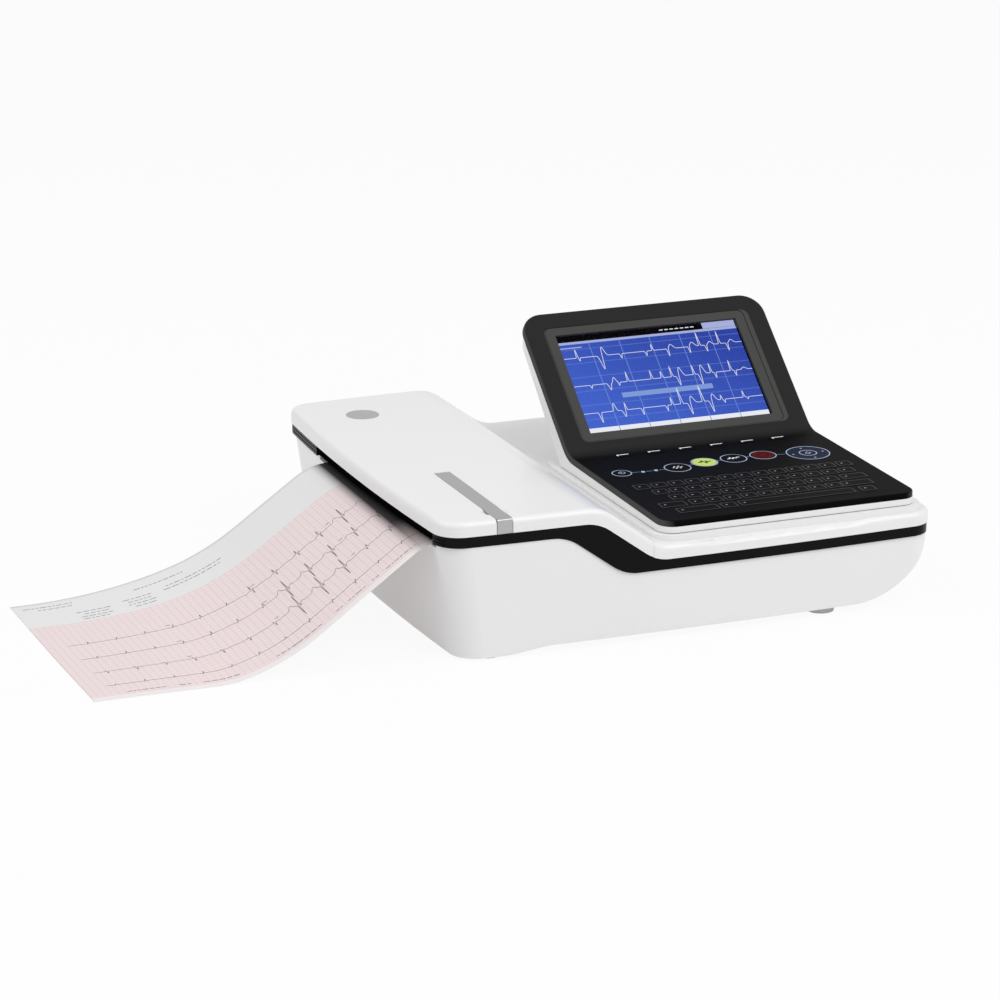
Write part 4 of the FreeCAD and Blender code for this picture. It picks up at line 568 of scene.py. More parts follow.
@dataclass(frozen=True)
class Layers:
    """Folded pack: painted shade in thin darker lines between the pages at its edges, and a faint chart printed on its
    top page in the same colour.
    """

    name: str
    colour: Colour
    shade: Colour
    pitch: float = 0.9
    gap: float = 0.25
    wave: float = 30.0
    wave_height: float = 0.8
    square: float = 5.0
    line: float = 0.4
    line_share: float = 0.5
    relief: float = 0.1
    roughness: float = 0.65
    gap_roughness: float = 0.1

    def paint(self) -> bpy.types.Material:
        """Makes the material.

        Returns:
            The material with its nodes.
        """
        paint = Paint.named(self.name)
        across, along, height = paint.axes(paint.position())
        _, _, upward = paint.facing()
        wavy = height + (paint.noise(self.wave * MM) - 0.5) * (self.wave_height * MM)
        # painted shade in the gaps between pages on the pack's sides; the chart lines below are print
        gaps = wavy.ruled(self.pitch * MM, self.gap * MM) * (abs(upward) < 0.5)
        lines = [way.ruled(self.square * MM, self.line * MM) for way in (across, along)]
        chart = lines[0].either(lines[1]) * (abs(upward) > 0.5)
        return paint.principled({
            "Base Color": paint.mix(gaps.either(chart * self.line_share), self.colour, self.shade),
            "Roughness": self.roughness + gaps * self.gap_roughness,
            "Normal": paint.bump(1 - gaps, self.relief * MM),
        })


@dataclass(frozen=True)
class CircuitBoard:
    """Solder mask over a square net of copper runs."""

    name: str
    mask: Colour = srgb(22, 92, 52)
    copper: Colour = srgb(48, 132, 78)
    patch: float = 9.0
    patch_level: float = 0.52
    pitches: Spot = (2.4, 2.8)
    line: float = 0.6
    relief: float = 0.04
    roughness: float = 0.35
    line_roughness: float = 0.1

    def paint(self) -> bpy.types.Material:
        """Makes the material.

        Returns:
            The material with its nodes.
        """
        paint = Paint.named(self.name)
        x, y, _ = paint.axes(paint.position())
        patch = paint.noise(self.patch * MM) > self.patch_level
        runs = x.ruled(self.pitches[0] * MM, self.line * MM) * patch
        runs = runs.either(y.ruled(self.pitches[1] * MM, self.line * MM) * (1 - patch))
        return paint.principled({
            "Base Color": paint.mix(runs, self.mask, self.copper),
            "Roughness": self.roughness + runs * self.line_roughness,
            "Normal": paint.bump(runs, self.relief * MM),
        })


def ink(name: str, colour: Colour, mottle: float = 0.05, specular: float = 0.1) -> Moulded:
    """A thin printed ink.

    Args:
        name: The material's name.
        colour: Its colour.
        mottle: How uneven the colour is.
        specular: How much it shines.

    Returns:
        The finish.
    """
    return Moulded(name, colour, 0.5, 0.4, 0.003, mottle, specular)


# After the colour: roughness, grain, relief, mottle, specular and coat for Moulded; roughness, line, axis for Metal.
WHITE_SHELL = Moulded("white_shell", srgb(233, 233, 233), 0.32, 1.2, 0.0015, 0.008, 0.45, 0.15)
BLACK_TRIM = Moulded("black_trim", srgb(12, 12, 13), 0.22, 1.5, 0.001, 0.05, 0.08)
# the third colour is a painted sheen on the film's side walls
PANEL_FILM = PanelFilm("panel_film", srgb(9, 9, 9), srgb(44, 44, 44), srgb(74, 74, 74))
BEZEL_GREY = Moulded("bezel_grey", srgb(66, 66, 65), 0.45, 0.5, 0.005, 0.04, 0.12)
KEY_BLACK = Moulded("key_black", srgb(10, 10, 11), 0.5, 0.4, 0.004, 0.05, 0.02)
NAV_NAVY = Moulded("nav_navy", srgb(30, 38, 58), 0.5, 0.4, 0.004, 0.05, 0.02)
KEY_GREEN = Moulded("key_green", srgb(196, 222, 112), 0.45, 0.4, 0.005, 0.03, 0.1)
# painted shade: matt black for the strip that stands for the dark gap under the door's left rim
GAP_SHADE_BLACK = Moulded("gap_shade_black", srgb(7, 7, 8), 0.8, 0.4, 0.004, 0.05, 0.0)
SEAL_RUBBER = Moulded("seal_rubber", srgb(30, 30, 30), 0.7, 0.3, 0.01, 0.1, 0.2)
FOOT_RUBBER = Moulded("foot_rubber", srgb(190, 190, 191), 0.75, 0.3, 0.02, 0.08, 0.25)
ROLLER_RUBBER = Moulded("roller_rubber", srgb(52, 52, 54), 0.65, 0.25, 0.02, 0.06, 0.3)
GEAR_NYLON = Moulded("gear_nylon", srgb(226, 224, 214), 0.4, 0.6, 0.004, 0.03, 0.4)
HEAD_CERAMIC = Moulded("head_ceramic", srgb(206, 202, 192), 0.2, 0.8, 0.002, 0.05, 0.6)
BATTERY_CASE = Moulded("battery_case", srgb(62, 70, 88), 0.5, 0.4, 0.008, 0.05, 0.35)
SOCKET_BLACK = Moulded("socket_black", srgb(34, 34, 35), 0.5, 0.35, 0.01, 0.06, 0.3)
TRAY_PLASTIC = Moulded("tray_plastic", srgb(84, 84, 87), 0.5, 0.35, 0.01, 0.05, 0.35)
TEAR_STEEL = Metal("tear_steel", srgb(60, 60, 62), 0.35, 0.3, Axis.Y)
ALUMINIUM = Metal("brushed_aluminium", srgb(190, 190, 191), 0.38, 0.22, Axis.Y, 0.004)
BADGE_METAL = Metal("badge_aluminium", srgb(194, 194, 195), 0.34, 0.25, Axis.X, 0.004)
STEEL = Metal("zinc_steel", srgb(184, 186, 188), 0.36, 0.5, Axis.X)
MOTOR_METAL = Metal("motor_metal", srgb(92, 92, 95), 0.42, 0.4, Axis.Y)
BRONZE = Metal("bronze", srgb(196, 160, 96), 0.3, 0.3, Axis.ROUND)
PINION_BRASS = Metal("pinion_brass", srgb(208, 172, 104), 0.28, 0.3, Axis.Y)
SCREEN_GLASS = ClearGlass("screen_glass")
STATUS_LENS = Lit("status_lens", srgb(186, 206, 232), 0.9, 0.2)
BOARD_GREEN = CircuitBoard("board_green")
PAPER_PACK = Layers("paper_pack", srgb(236, 226, 225), srgb(206, 182, 182))
RING_INK = ink("ring_ink", srgb(178, 190, 214))
LINE_INK = ink("line_ink", srgb(112, 138, 180))
WHITE_INK = ink("white_ink", srgb(246, 246, 246), 0.03, 0.2)
BLACK_INK = ink("black_ink", srgb(20, 22, 20), 0.05, 0.15)
RED_INK = ink("red_ink", srgb(86, 18, 20), 0.05, 0.02)
DARK_RED_INK = ink("dark_red_ink", srgb(46, 14, 16), 0.05, 0.02)
GREY_INK = ink("grey_ink", srgb(92, 92, 94), 0.06)
CAP_INK = ink("cap_ink", srgb(150, 150, 153), 0.06)
CHART_INK = Moulded("chart_ink", srgb(44, 40, 42), 0.6, 0.3, 0.002, 0.12, 0.2)
TRACE_LIGHT = Lit("trace_light", srgb(236, 240, 250))
BAR_LIGHT = Lit("bar_light", srgb(240, 243, 250))
TAB_LIGHT = Lit("tab_light", srgb(172, 182, 226))
LABEL_LIGHT = Lit("label_light", srgb(132, 160, 222))
# dark ink of the screen's header, also used for a bar of painted shade at the screen's right edge
HEADER_AND_SHADE_DARK = Lit("header_and_shade_dark", srgb(6, 6, 8))

Finish = Moulded | PanelFilm | Metal | ClearGlass | Lit | ScreenField | ChartPaper | Layers | CircuitBoard


@functools.cache
def material(finish: Finish) -> bpy.types.Material:
    """The one material of a finish."""
    return finish.paint()


def dress(finish: Finish, *nodes: str) -> None:
    """Gives CAD nodes a finish.

    Args:
        finish: What they are made of.
        nodes: Their names.
    """
    for name in nodes:
        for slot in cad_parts[name].material_slots:
            slot.material = material(finish)
        LOG.info("%s: %s", name, finish.name)


@dataclass
class Shape:
    """Points in millimetres, with four-sided and three-sided faces."""

    points: np.ndarray
    quads: np.ndarray
    triangles: np.ndarray

    @staticmethod
    def join(shapes: Sequence["Shape"]) -> "Shape":
        """Puts shapes side by side in one.

        Args:
            shapes: The shapes.

        Returns:
            One shape with all their points and faces.
        """
        starts = np.cumsum([0] + [len(shape.points) for shape in shapes[:-1]])
        return Shape(
            np.concatenate([shape.points for shape in shapes]),
            np.concatenate([shape.quads + start for shape, start in zip(shapes, starts)]),
            np.concatenate([shape.triangles + start for shape, start in zip(shapes, starts)]),
        )

    def piece(self, name: str, finish: Finish, body: str, smooth: bool = False) -> bpy.types.Object:
        """Makes the shape an object of the scene.

        Args:
            name: The piece's name.
            finish: What it is made of.
            body: The CAD body that it rides on.
            smooth: True to shade it as one curved surface.

        Returns:
            The object.
        """
        mesh = bpy.data.meshes.new(name)
        mesh.from_pydata((self.points * MM).tolist(), [], self.quads.tolist() + self.triangles.tolist())
        mesh.materials.append(material(finish))
        mesh.polygons.foreach_set("use_smooth", np.full(len(mesh.polygons), smooth))
        mesh.update()
        piece = bpy.data.objects.new(name, mesh)
        bpy.context.scene.collection.objects.link(piece)
        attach(piece, body)
        return piece


NO_TRIANGLES = np.zeros((0, 3), int)


@dataclass(frozen=True)
class Slope:
    """Flat face of the console: first coordinate along X, second up the slope."""

    start: Point
    tilt: float
    offset: float = 0.0

    def at(self, flat: np.ndarray, lift: float) -> np.ndarray:
        """Points of flat coordinates: start + u X + v (slope direction) + lift (slope normal).

        Args:
            flat: Coordinates, one row a point.
            lift: Height above the face.

        Returns:
            The points in millimetres.
        """
        turn = math.radians(self.tilt)
        along = np.array([0.0, math.cos(turn), math.sin(turn)])
        normal = np.array([0.0, -math.sin(turn), math.cos(turn)])
        across = np.array([1.0, 0.0, 0.0])
        u, v = flat[:, :1], flat[:, 1:] + self.offset
        return np.array(self.start) + u * across + v * along + lift * normal


def unit(vectors: np.ndarray) -> np.ndarray:
    """Vectors of length one in the same directions."""
    return vectors / np.maximum(np.linalg.norm(vectors, axis=-1, keepdims=True), TINY)


def ribbon(path: np.ndarray, width: float, place: Place, lift: float, depth: float = INK_DEPTH,
           closed: bool = False) -> Shape:
    """A thin rectangle carried along a flat path.

    Each point of the path moves half a width to both sides, square to the mean direction of the runs that meet
    there, drawn out by the corner's mitre.

    Args:
        path: Flat points, one row a point.
        width: Width of the band.
        place: Turns flat points and a height into points in space.
        lift: Height of the band's underside.
        depth: Thickness.
        closed: True where the path ends at its start.

    Returns:
        The band.
    """
    ahead = unit(np.roll(path, -1, 0) - path)
    behind = np.roll(ahead, 1, 0)
    if not closed:
        ahead[-1] = behind[-1]
        behind[0] = ahead[0]
    middle = unit(ahead + behind)
    mitre = np.maximum(np.sum(middle * ahead, 1, keepdims=True), MITRE_LIMIT)
    side = np.stack([-middle[:, 1], middle[:, 0]], 1) * (width / 2) / mitre
    return strip(path + side, path - side, place, lift, depth, closed)


def strip(left: np.ndarray, right: np.ndarray, place: Place, lift: float, depth: float, closed: bool) -> Shape:
    """A thin band between two flat edges: both are placed at two heights, and four strips of faces join them.

    Args:
        left: Flat points of the edge on the left of the way along.
        right: As many points of the other edge.
        place: Turns flat points and a height into points in space.
        lift: Height of the band's underside.
        depth: Thickness.
        closed: True where the edges end at their starts.

    Returns:
        The band.
    """
    top, low = lift + depth, lift
    corners = [place(left, top), place(right, top), place(right, low), place(left, low)]
    count = len(left)
    row = np.arange(count if closed else count - 1)
    turn = np.arange(4)
    here, there = 4 * row[:, None], 4 * ((row[:, None] + 1) % count)
    after = (turn + 1) % 4
    quads = np.stack([here + turn, here + after, there + after, there + turn], -1).reshape(-1, 4)
    if not closed:
        ends = np.array([[0, 3, 2, 1], [0, 1, 2, 3]]) + np.array([[0], [4 * (count - 1)]])
        quads = np.concatenate([quads, ends])
    return Shape(np.stack(corners, 1).reshape(-1, 3), quads, NO_TRIANGLES)


def bar(centre: Spot, length: float, width: float, place: Place, lift: float, depth: float = INK_DEPTH) -> Shape:
    """A straight level band about a centre."""
    path = np.array([[centre[0] - length / 2, centre[1]], [centre[0] + length / 2, centre[1]]])
    return ribbon(path, width, place, lift, depth)


def arc(centre: Spot, radius: float, first: float = 0.0, last: float = 360.0, count: int = 48) -> np.ndarray:
    """Points on a circle between two angles; a whole turn leaves out the last point.

    Args:
        centre: Middle of the circle.
        radius: Radius.
        first: Angle of the first point in degrees.
        last: Angle of the last point in degrees.
        count: Number of points.

    Returns:
        Flat points.
    """
    angles = np.radians(np.linspace(first, last, count, endpoint=abs(last - first) < 360))
    return np.array(centre) + radius * np.stack([np.cos(angles), np.sin(angles)], 1)


def rounded(centre: Spot, width: float, height: float, radius: float, steps: int = 4) -> np.ndarray:
    """Outline of a rectangle with round corners.

    Args:
        centre: Middle of the rectangle.
        width: Size along the first coordinate.
        height: Size along the second.
        radius: Corner radius.
        steps: Points on each corner.

    Returns:
        Flat points in order.
    """
    inner = np.array([[1, 1], [-1, 1], [-1, -1], [1, -1]]) * (np.array([width, height]) / 2 - radius)
    turns = [arc(tuple(np.array(centre) + corner), radius, 90 * i, 90 * i + 90, steps)
             for i, corner in enumerate(inner)]
    return np.concatenate(turns)


def disc(centre: Spot, radius: float, place: Place, lift: float, depth: float = INK_DEPTH, sides: int = 40) -> Shape:
    """A thin round plate: two rings of points at two heights, closed by a fan on each side.

    Args:
        centre: Middle of the plate.
        radius: Radius.
        place: Turns flat points and a height into points in space.
        lift: Height of its underside.
        depth: Thickness.
        sides: Points round it.

    Returns:
        The plate.
    """
    rim = arc(centre, radius, count=sides)
    middle = np.array([centre])
    points = np.concatenate([place(rim, lift + depth), place(rim, lift), place(middle, lift + depth),
                             place(middle, lift)])
    here = np.arange(sides)
    there = (here + 1) % sides
    quads = np.stack([here, sides + here, sides + there, there], 1)
    top = np.stack([here, there, np.full(sides, 2 * sides)], 1)
    low = np.stack([sides + there, sides + here, np.full(sides, 2 * sides + 1)], 1)
    return Shape(points, quads, np.concatenate([top, low]))


def bells(along: np.ndarray, waves: np.ndarray) -> np.ndarray:
    """Sum of bell curves: each wave adds height * exp(-((x - place) / width) ** 2).

    Args:
        along: Places along a trace.
        waves: One row a wave: place, height, width.

    Returns:
        A height for each place.
    """
    place, height, width = waves.T
    return np.sum(height * np.exp(-((along[:, None] - place) / width) ** 2), axis=1)


def heart_beats(beats: np.ndarray, heights: np.ndarray, stretch: float = 1.0) -> np.ndarray:
    """Waves of a row of heart beats: first bump, dip, spike, dip, last bump, each with its own lag and width.

    Args:
        beats: Place of each beat's spike.
        heights: One row a beat, one column a wave.
        stretch: Makes the beats wider.

    Returns:
        One row a wave: place, height, width.
    """
    lags = np.array([-4.4, -1.1, 0.0, 1.3, 7.0]) * stretch
    widths = np.array([1.2, 0.36, 0.38, 0.38, 2.4]) * stretch
    places = beats[:, None] + lags
    return np.stack([places, heights, np.broadcast_to(widths, places.shape)], -1).reshape(-1, 3)


@dataclass
class ChartPage:
    """Printed page that leaves the slot, arches down and settles on the table."""

    width: float = 215.9
    front_y: float = -146.95
    start: Spot = (-165.0, 84.55)
    rest_z: float = 0.45
    thickness: float = 0.15
    length: float = 292.9
    back_turns: tuple[float, ...] = (0.0, 24.5, 55.0, 113.4, 172.1, 278.9, 292.9)
    back_dips: tuple[float, ...] = (0.0, 0.0, 35.0, 35.0, 17.0, 0.5, 0.0)
    front_turns: tuple[float, ...] = (0.0, 20.5, 38.0, 120.0, 137.0, 161.0, 184.0, 206.0, 292.9)
    front_dips: tuple[float, ...] = (0.0, 0.0, 35.0, 35.8, 31.5, 22.5, 15.0, 0.0, 0.0)
    margin: float = 7.0
    chart_end: float = 164.0
    row_places: tuple[float, ...] = (118.7, 86.4, 56.1, 27.0)
    row_parts: Spot = (68.0, 138.0)
    row_heights: tuple[Point, ...] = ((16.0, -8.0, 4.0), (10.0, 18.0, 4.4), (5.5, 19.0, -4.6), (3.0, 3.0, 3.0))
    tall_beat: tuple[float, ...] = (0.1, -0.15, 0.75, -0.85, 0.26)
    low_beat: tuple[float, ...] = (0.1, -0.1, 1.0, -0.35, 0.1)
    note_rows: tuple[Point, ...] = (
        (249, 284.5, 205.5), (250.5, 274.5, 200), (226.5, 249, 183), (229, 244.5, 178), (227.5, 248, 173),
        (231, 246, 168.5), (194.5, 214, 186), (196, 212, 181), (193.5, 214, 176), (195, 210.5, 171), (164.5, 202, 200),
        (136.5, 182.5, 188.5), (139, 182.5, 183.5), (239, 264, 11), (221, 228, 11), (186, 208, 11), (140, 155, 11),
        (119, 136, 11), (100, 105, 11), (79, 95, 11), (67, 74, 11), (34, 61, 11),
    )
    length_steps: int = 291
    width_steps: int = 61
    smoothing: int = 17
    ease: float = 1.3
    free_start: float = 120.0
    free_blend: float = 120.0
    wave_height: float = 0.35
    wave_across: float = 7.0
    wave_along: float = 37.0
    ink_lift: float = 0.02
    trace_seed: int = 7
    trace_ends: Spot = (22.0, 277.0)
    trace_step: float = 0.15
    trace_width: float = 0.32
    trace_drift: float = 0.008
    beat_ends: Spot = (31.0, 274.0)
    beat_pitch: float = 21.0
    beat_shift: float = 2.5
    beat_spread: float = 0.4
    beat_stretch: float = 0.85
    label_places: Point = (202.0, 134.0, 64.0)
    label_shift: float = 2.0
    label_lift: float = 4.5
    label_size: Spot = (3.5, 0.6)
    dash_seed: int = 11
    dash_lengths: Spot = (1.5, 4.0)
    dash_width: float = 0.7
    dash_gap: float = 1.2

    def __post_init__(self) -> None:
        """Works out the sheet's points once."""
        self.points = self.surface()

    def surface(self) -> np.ndarray:
        """Points of the sheet on a grid: along its length, then from its front edge to its back.

        The dip angle is read between turning places, mixed from the front edge's and the back edge's, and smoothed;
        its cosine and sine, summed along the length, give the way out and the fall, and the fall is scaled so that
        the free end rests on the table. A shallow wave lifts the free part a little.

        Returns:
            An array of length steps by width steps by three.
        """
        along = np.linspace(0.0, self.length, self.length_steps)
        share = np.linspace(0.0, 1.0, self.width_steps)
        kernel = np.hanning(self.smoothing)
        pads = len(kernel) // 2
        edges = [np.convolve(np.pad(np.interp(along, turns, dips), pads, "edge"), kernel / kernel.sum(), "valid")
                 for turns, dips in ((self.front_turns, self.front_dips), (self.back_turns, self.back_dips))]
        ease = share ** self.ease
        dip = np.radians(edges[0][:, None] * (1 - ease) + edges[1][:, None] * ease)
        step = along[1] - along[0]
        out = np.cumsum(np.cos(dip), 0) * step - step
        fall = np.cumsum(np.sin(dip), 0) * step
        fall *= (self.start[1] - self.rest_z) / fall[-1]
        free = np.clip((along - self.free_start) / self.free_blend, 0, 1)[:, None]
        wave = self.wave_height * free * (1 + np.sin(share * self.wave_across + along[:, None] / self.wave_along))
        x = self.start[0] - out
        y = self.front_y + np.broadcast_to(share * self.width, x.shape)
        return np.stack([x, y, self.start[1] - fall + wave], -1)

    def at(self, flat: np.ndarray, lift: float) -> np.ndarray:
        """Points over the sheet, by the nearest four grid points in proportion, raised along the sheet's normal.

        Args:
            flat: Distance along the sheet and from its front edge, one row a point.
            lift: Height above the sheet.

        Returns:
            The points in millimetres.
        """
        scale = np.array([self.length_steps - 1, self.width_steps - 1]) / np.array([self.length, self.width])
        just_inside = 1.001
        place = np.clip(flat * scale, 0, np.array([self.length_steps, self.width_steps]) - just_inside)
        cell = place.astype(int)
        part = place - cell
        i, j = cell.T
        s, t = part[:, :1], part[:, 1:]
        p = self.points
        low = p[i, j] * (1 - t) + p[i, j + 1] * t
        high = p[i + 1, j] * (1 - t) + p[i + 1, j + 1] * t
        normal = unit(np.cross(p[i, j + 1] - p[i, j], p[i + 1, j] - p[i, j]))
        normal *= np.sign(normal[:, 2:])
        return low * (1 - s) + high * s + lift * normal

    def build_sheet(self) -> bpy.types.Object:
        """Makes the sheet, with its flat coordinates as its own map.

        Returns:
            The sheet.
        """
        rows, columns = self.length_steps, self.width_steps
        index = np.arange(rows * columns).reshape(rows, columns)
        quads = np.stack([index[:-1, :-1], index[:-1, 1:], index[1:, 1:], index[1:, :-1]], -1).reshape(-1, 4)
        finish = ChartPaper("chart_paper", self.margin, self.chart_end)
        sheet = Shape(self.points.reshape(-1, 3), quads, NO_TRIANGLES).piece("chart_page", finish, "base", True)
        along = np.linspace(0.0, self.length, rows) * MM
        across = np.linspace(0.0, self.width, columns) * MM
        flat = np.stack(np.meshgrid(along, across, indexing="ij"), -1).reshape(-1, 2)
        corners = np.zeros(len(sheet.data.loops), int)
        sheet.data.loops.foreach_get("vertex_index", corners)
        sheet.data.uv_layers.new(name="flat").data.foreach_set("uv", flat[corners].ravel())
        wall = sheet.modifiers.new("thickness", "SOLIDIFY")
        wall.thickness = self.thickness * MM
        wall.offset = -1.0
        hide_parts("printed_sheet")
        self.width * MM
        return sheet

    def build_traces(self) -> bpy.types.Object:
        """Four heart traces along the page: each row's beats change height at two places, tallest near the slot.

        Returns:
            The traces as one piece.
        """
        random = np.random.default_rng(self.trace_seed)
        along = np.arange(*self.trace_ends, self.trace_step)
        first, last = self.beat_ends
        shapes = []
        for row, place in enumerate(self.row_places):
            beats = np.arange(first + self.beat_shift * row, last, self.beat_pitch)
            part = np.digitize(beats, self.row_parts)
            uneven = 1 - self.beat_spread / 2 + self.beat_spread * random.random(len(beats))
            tall = np.array(self.row_heights[row])[part] * uneven
            waves = np.array([self.tall_beat, self.tall_beat, self.low_beat])[part]
            trace = place + bells(along, heart_beats(beats, tall[:, None] * waves, self.beat_stretch))
            trace += self.trace_drift * random.standard_normal(len(along)).cumsum()
            shapes.append(ribbon(np.stack([along, trace], 1), self.trace_width, self.at, self.ink_lift, THIN_INK))
        return Shape.join(shapes).piece("chart_traces", CHART_INK, "base")

    def build_notes(self) -> bpy.types.Object:
        """Rows of plain dashes where the machine prints its data, and one over each part of a trace.

        Returns:
            The dashes as one piece.
        """
        random = np.random.default_rng(self.dash_seed)
        shapes = [bar((place + self.label_shift * row, across + self.label_lift), *self.label_size, self.at,
                      self.ink_lift, THIN_INK)
                  for row, across in enumerate(self.row_places[:3]) for place in self.label_places]
        shortest, more = self.dash_lengths
        for left, right, across in self.note_rows:
            spot = left
            while spot < right:
                length = shortest + more * random.random()
                shapes.append(bar((spot + length / 2, across), length, self.dash_width, self.at, self.ink_lift,
                                  THIN_INK))
                spot += length + self.dash_gap
        return Shape.join(shapes).piece("chart_notes", GREY_INK, "base")

    def build(self) -> Iterator[bpy.types.Object]:
        """Makes the page and what is printed on it.

        Returns:
            Each piece in turn.
        """
        yield self.build_sheet()
        yield self.build_traces()
        yield self.build_notes()


@dataclass
class Display:
    """Lit screen behind its glass, in a grey frame on the raked plane."""

    offset: float = 63.5
    width: float = 152.0
    height: float = 91.0
    face: float = -2.3
    frame_width: float = 168.3
    frame_height: float = 106.3
    collar_centre: Spot = (1.6, -0.4)
    collar_width: float = 173.6
    collar_height: float = 107.4
    collar_clearance: float = 0.2
    collar_corners: Spot = (5.4, 6.0)
    corner_steps: int = 8
    # painted shade: width of the black line round the collar
    seam_shade_width: float = 0.7
    layer: float = 0.04
    layer_step: float = 0.08
    header_height: float = 5.8
    # painted shade: inset and width of the dark bar down the screen's right edge
    shade_bar_inset: float = 0.7
    shade_bar_width: float = 1.2
    tab: Spot = (29.0, 5.6)
    rule_drop: float = 7.0
    rule_width: float = 2.2
    title: tuple[float, ...] = (9.5, 11.4, 18.0, 1.0)
    columns: int = 6
    column_gap: float = 0.6
    footer_rise: float = 2.6
    footer_height: float = 4.8
    clock_start: float = 12.0
    clock_pitch: float = 4.4
    clock_size: Spot = (3.0, 0.8)
    clock_count: int = 7
    label_centre: Spot = (-1.0, -13.4)
    label_size: Spot = (76.0, 4.5)
    trace_ends: Spot = (-75.0, 75.2)
    trace_step: float = 0.25
    trace_width: float = 0.44
    trace_lift: float = 0.1
    trace_depth: float = 0.05
    rows: tuple[float, ...] = (24.5, -1.5, -27.0)
    waves: tuple = (
        ((-64, 8, 0.5), (-62.6, -3, 0.5), (-45, -13, 1.4), (-42, 8, 1.8), (-28, -4, 0.7), (-7, -4, 0.7), (-1, 6, 0.5),
         (11.5, -7, 0.6), (15, 4, 2.2), (29.5, -6, 0.6), (33, 4, 2.4), (39, 13, 0.5), (44, -6, 0.6), (48, 3, 2),
         (56, 12, 0.5), (62, -7, 0.6), (66, 3, 2)),
        ((-61, -3, 0.6), (-46, -6, 1.2), (-41, 5, 1.6), (-38, -3, 0.6), (-30, 9, 0.5), (-10, 8, 0.5), (-1.6, 6, 0.6),
         (7, 10, 0.5), (11.5, -9, 0.9), (14.5, 8, 1.8), (25.5, 9, 0.5), (30, -10, 0.9), (33, 8, 1.8), (40, 9, 0.5),
         (43, -5, 0.6), (57, 10, 0.5), (60, -5, 0.6), (68, 2, 2)),
        ((-62, -9, 0.8), (-49, 7, 1.2), (-42, -6, 1.2), (-40, 7, 0.6), (-27, -6, 0.6), (-6.5, -5, 0.6), (-1.5, 7, 0.5),
         (6.5, 15, 0.6), (12.5, -11, 0.9), (15.5, 6, 2), (24.5, 15, 0.6), (30.5, -11, 0.9), (33.5, 6, 2), (40, 4, 0.6),
         (42, -3, 0.6), (59, 6, 0.5), (62, -2, 0.6)),
    )

    def __post_init__(self) -> None:
        """Sets the plane that the picture is drawn on."""
        self.plane = Slope(CONSOLE_BEND, DISPLAY_TILT, self.offset)

    def dress(self) -> None:
        """Gives the frame, the glass and the screen their finishes."""
        centre = tuple(self.plane.at(np.zeros((1, 2)), self.face)[0])
        dress(ScreenField("screen_field", centre, DISPLAY_TILT, self.width), "lcd_module")
        dress(SCREEN_GLASS, "display_window")
        dress(BEZEL_GREY, "display_bezel")

    def draw(self, name: str, finish: Finish, shapes: list[Shape]) -> bpy.types.Object:
        """Makes one layer of the picture."""
        return Shape.join(shapes).piece(name, finish, "base")

    def traces(self) -> list[Shape]:
        """Three rows of heart traces, uneven beats on the left and tall ones on the right.

        Returns:
            A line for each row.
        """
        along = np.arange(*self.trace_ends, self.trace_step)
        lift = self.face + self.trace_lift
        paths = [np.stack([along, base + bells(along, np.array(waves))], 1)
                 for base, waves in zip(self.rows, self.waves)]
        return [ribbon(path, self.trace_width, self.plane.at, lift, self.trace_depth) for path in paths]

    def build(self) -> Iterator[bpy.types.Object]:
        """Draws the picture in layers between the screen and its glass, with a bar of painted shade down the screen's
        right edge, and the collar round the frame with a line of painted shade round it.

        Returns:
            Each piece in turn.
        """
        place = self.plane.at
        half, top, low = self.width / 2, self.height / 2, -self.height / 2
        first = self.face + self.layer
        second = first + self.layer_step
        middle = top - self.header_height / 2
        # painted shade: a dark bar down the screen's right edge, where the frame's inner wall is in shade
        side = half - self.shade_bar_inset
        edge = ribbon(np.array([[side, low], [side, top]]), self.shade_bar_width, place, first + 2 * self.layer_step)
        header = bar((0, middle), self.width, self.header_height, place, first)
        yield self.draw("screen_header_and_shade", HEADER_AND_SHADE_DARK, [header, edge])
        left, drop, length, thick = self.title
        tab = [bar((half - self.tab[0] / 2, middle), *self.tab, place, second),
               bar((0, top - self.rule_drop), self.width, self.rule_width, place, second),
               bar((left - half, top - drop), length, thick, place, second)]
        yield self.draw("screen_tab", TAB_LIGHT, tab)
        column = self.width / self.columns
        keys = [bar(((i - (self.columns - 1) / 2) * column, low + self.footer_rise), column - self.column_gap,
                    self.footer_height, place, first) for i in range(self.columns)]
        clock = [bar((self.clock_start + self.clock_pitch * i, middle), *self.clock_size, place, second)
                 for i in range(self.clock_count)]
        yield self.draw("screen_bars", BAR_LIGHT, keys + clock)
        widths = (self.frame_width + self.collar_clearance, self.frame_height + self.collar_clearance)
        inner = rounded((0, 0), *widths, self.collar_corners[0], self.corner_steps)
        outer = rounded(self.collar_centre, self.collar_width, self.collar_height, self.collar_corners[1],
                        self.corner_steps)
        collar = strip(inner, outer, place, 0.0, THIN_INK, True)
        yield collar.piece("frame_collar", BEZEL_GREY, "base")
        # painted shade: a black line round the collar for the dark gap between frame and panel
        seam_shade = ribbon(outer, self.seam_shade_width, place, 0.0, INK_DEPTH, True)
        yield seam_shade.piece("frame_seam_shade", BLACK_INK, "base")
        yield self.draw("screen_label", LABEL_LIGHT, [bar(self.label_centre, *self.label_size, place, first)])
        yield self.draw("screen_traces", TRACE_LIGHT, self.traces())


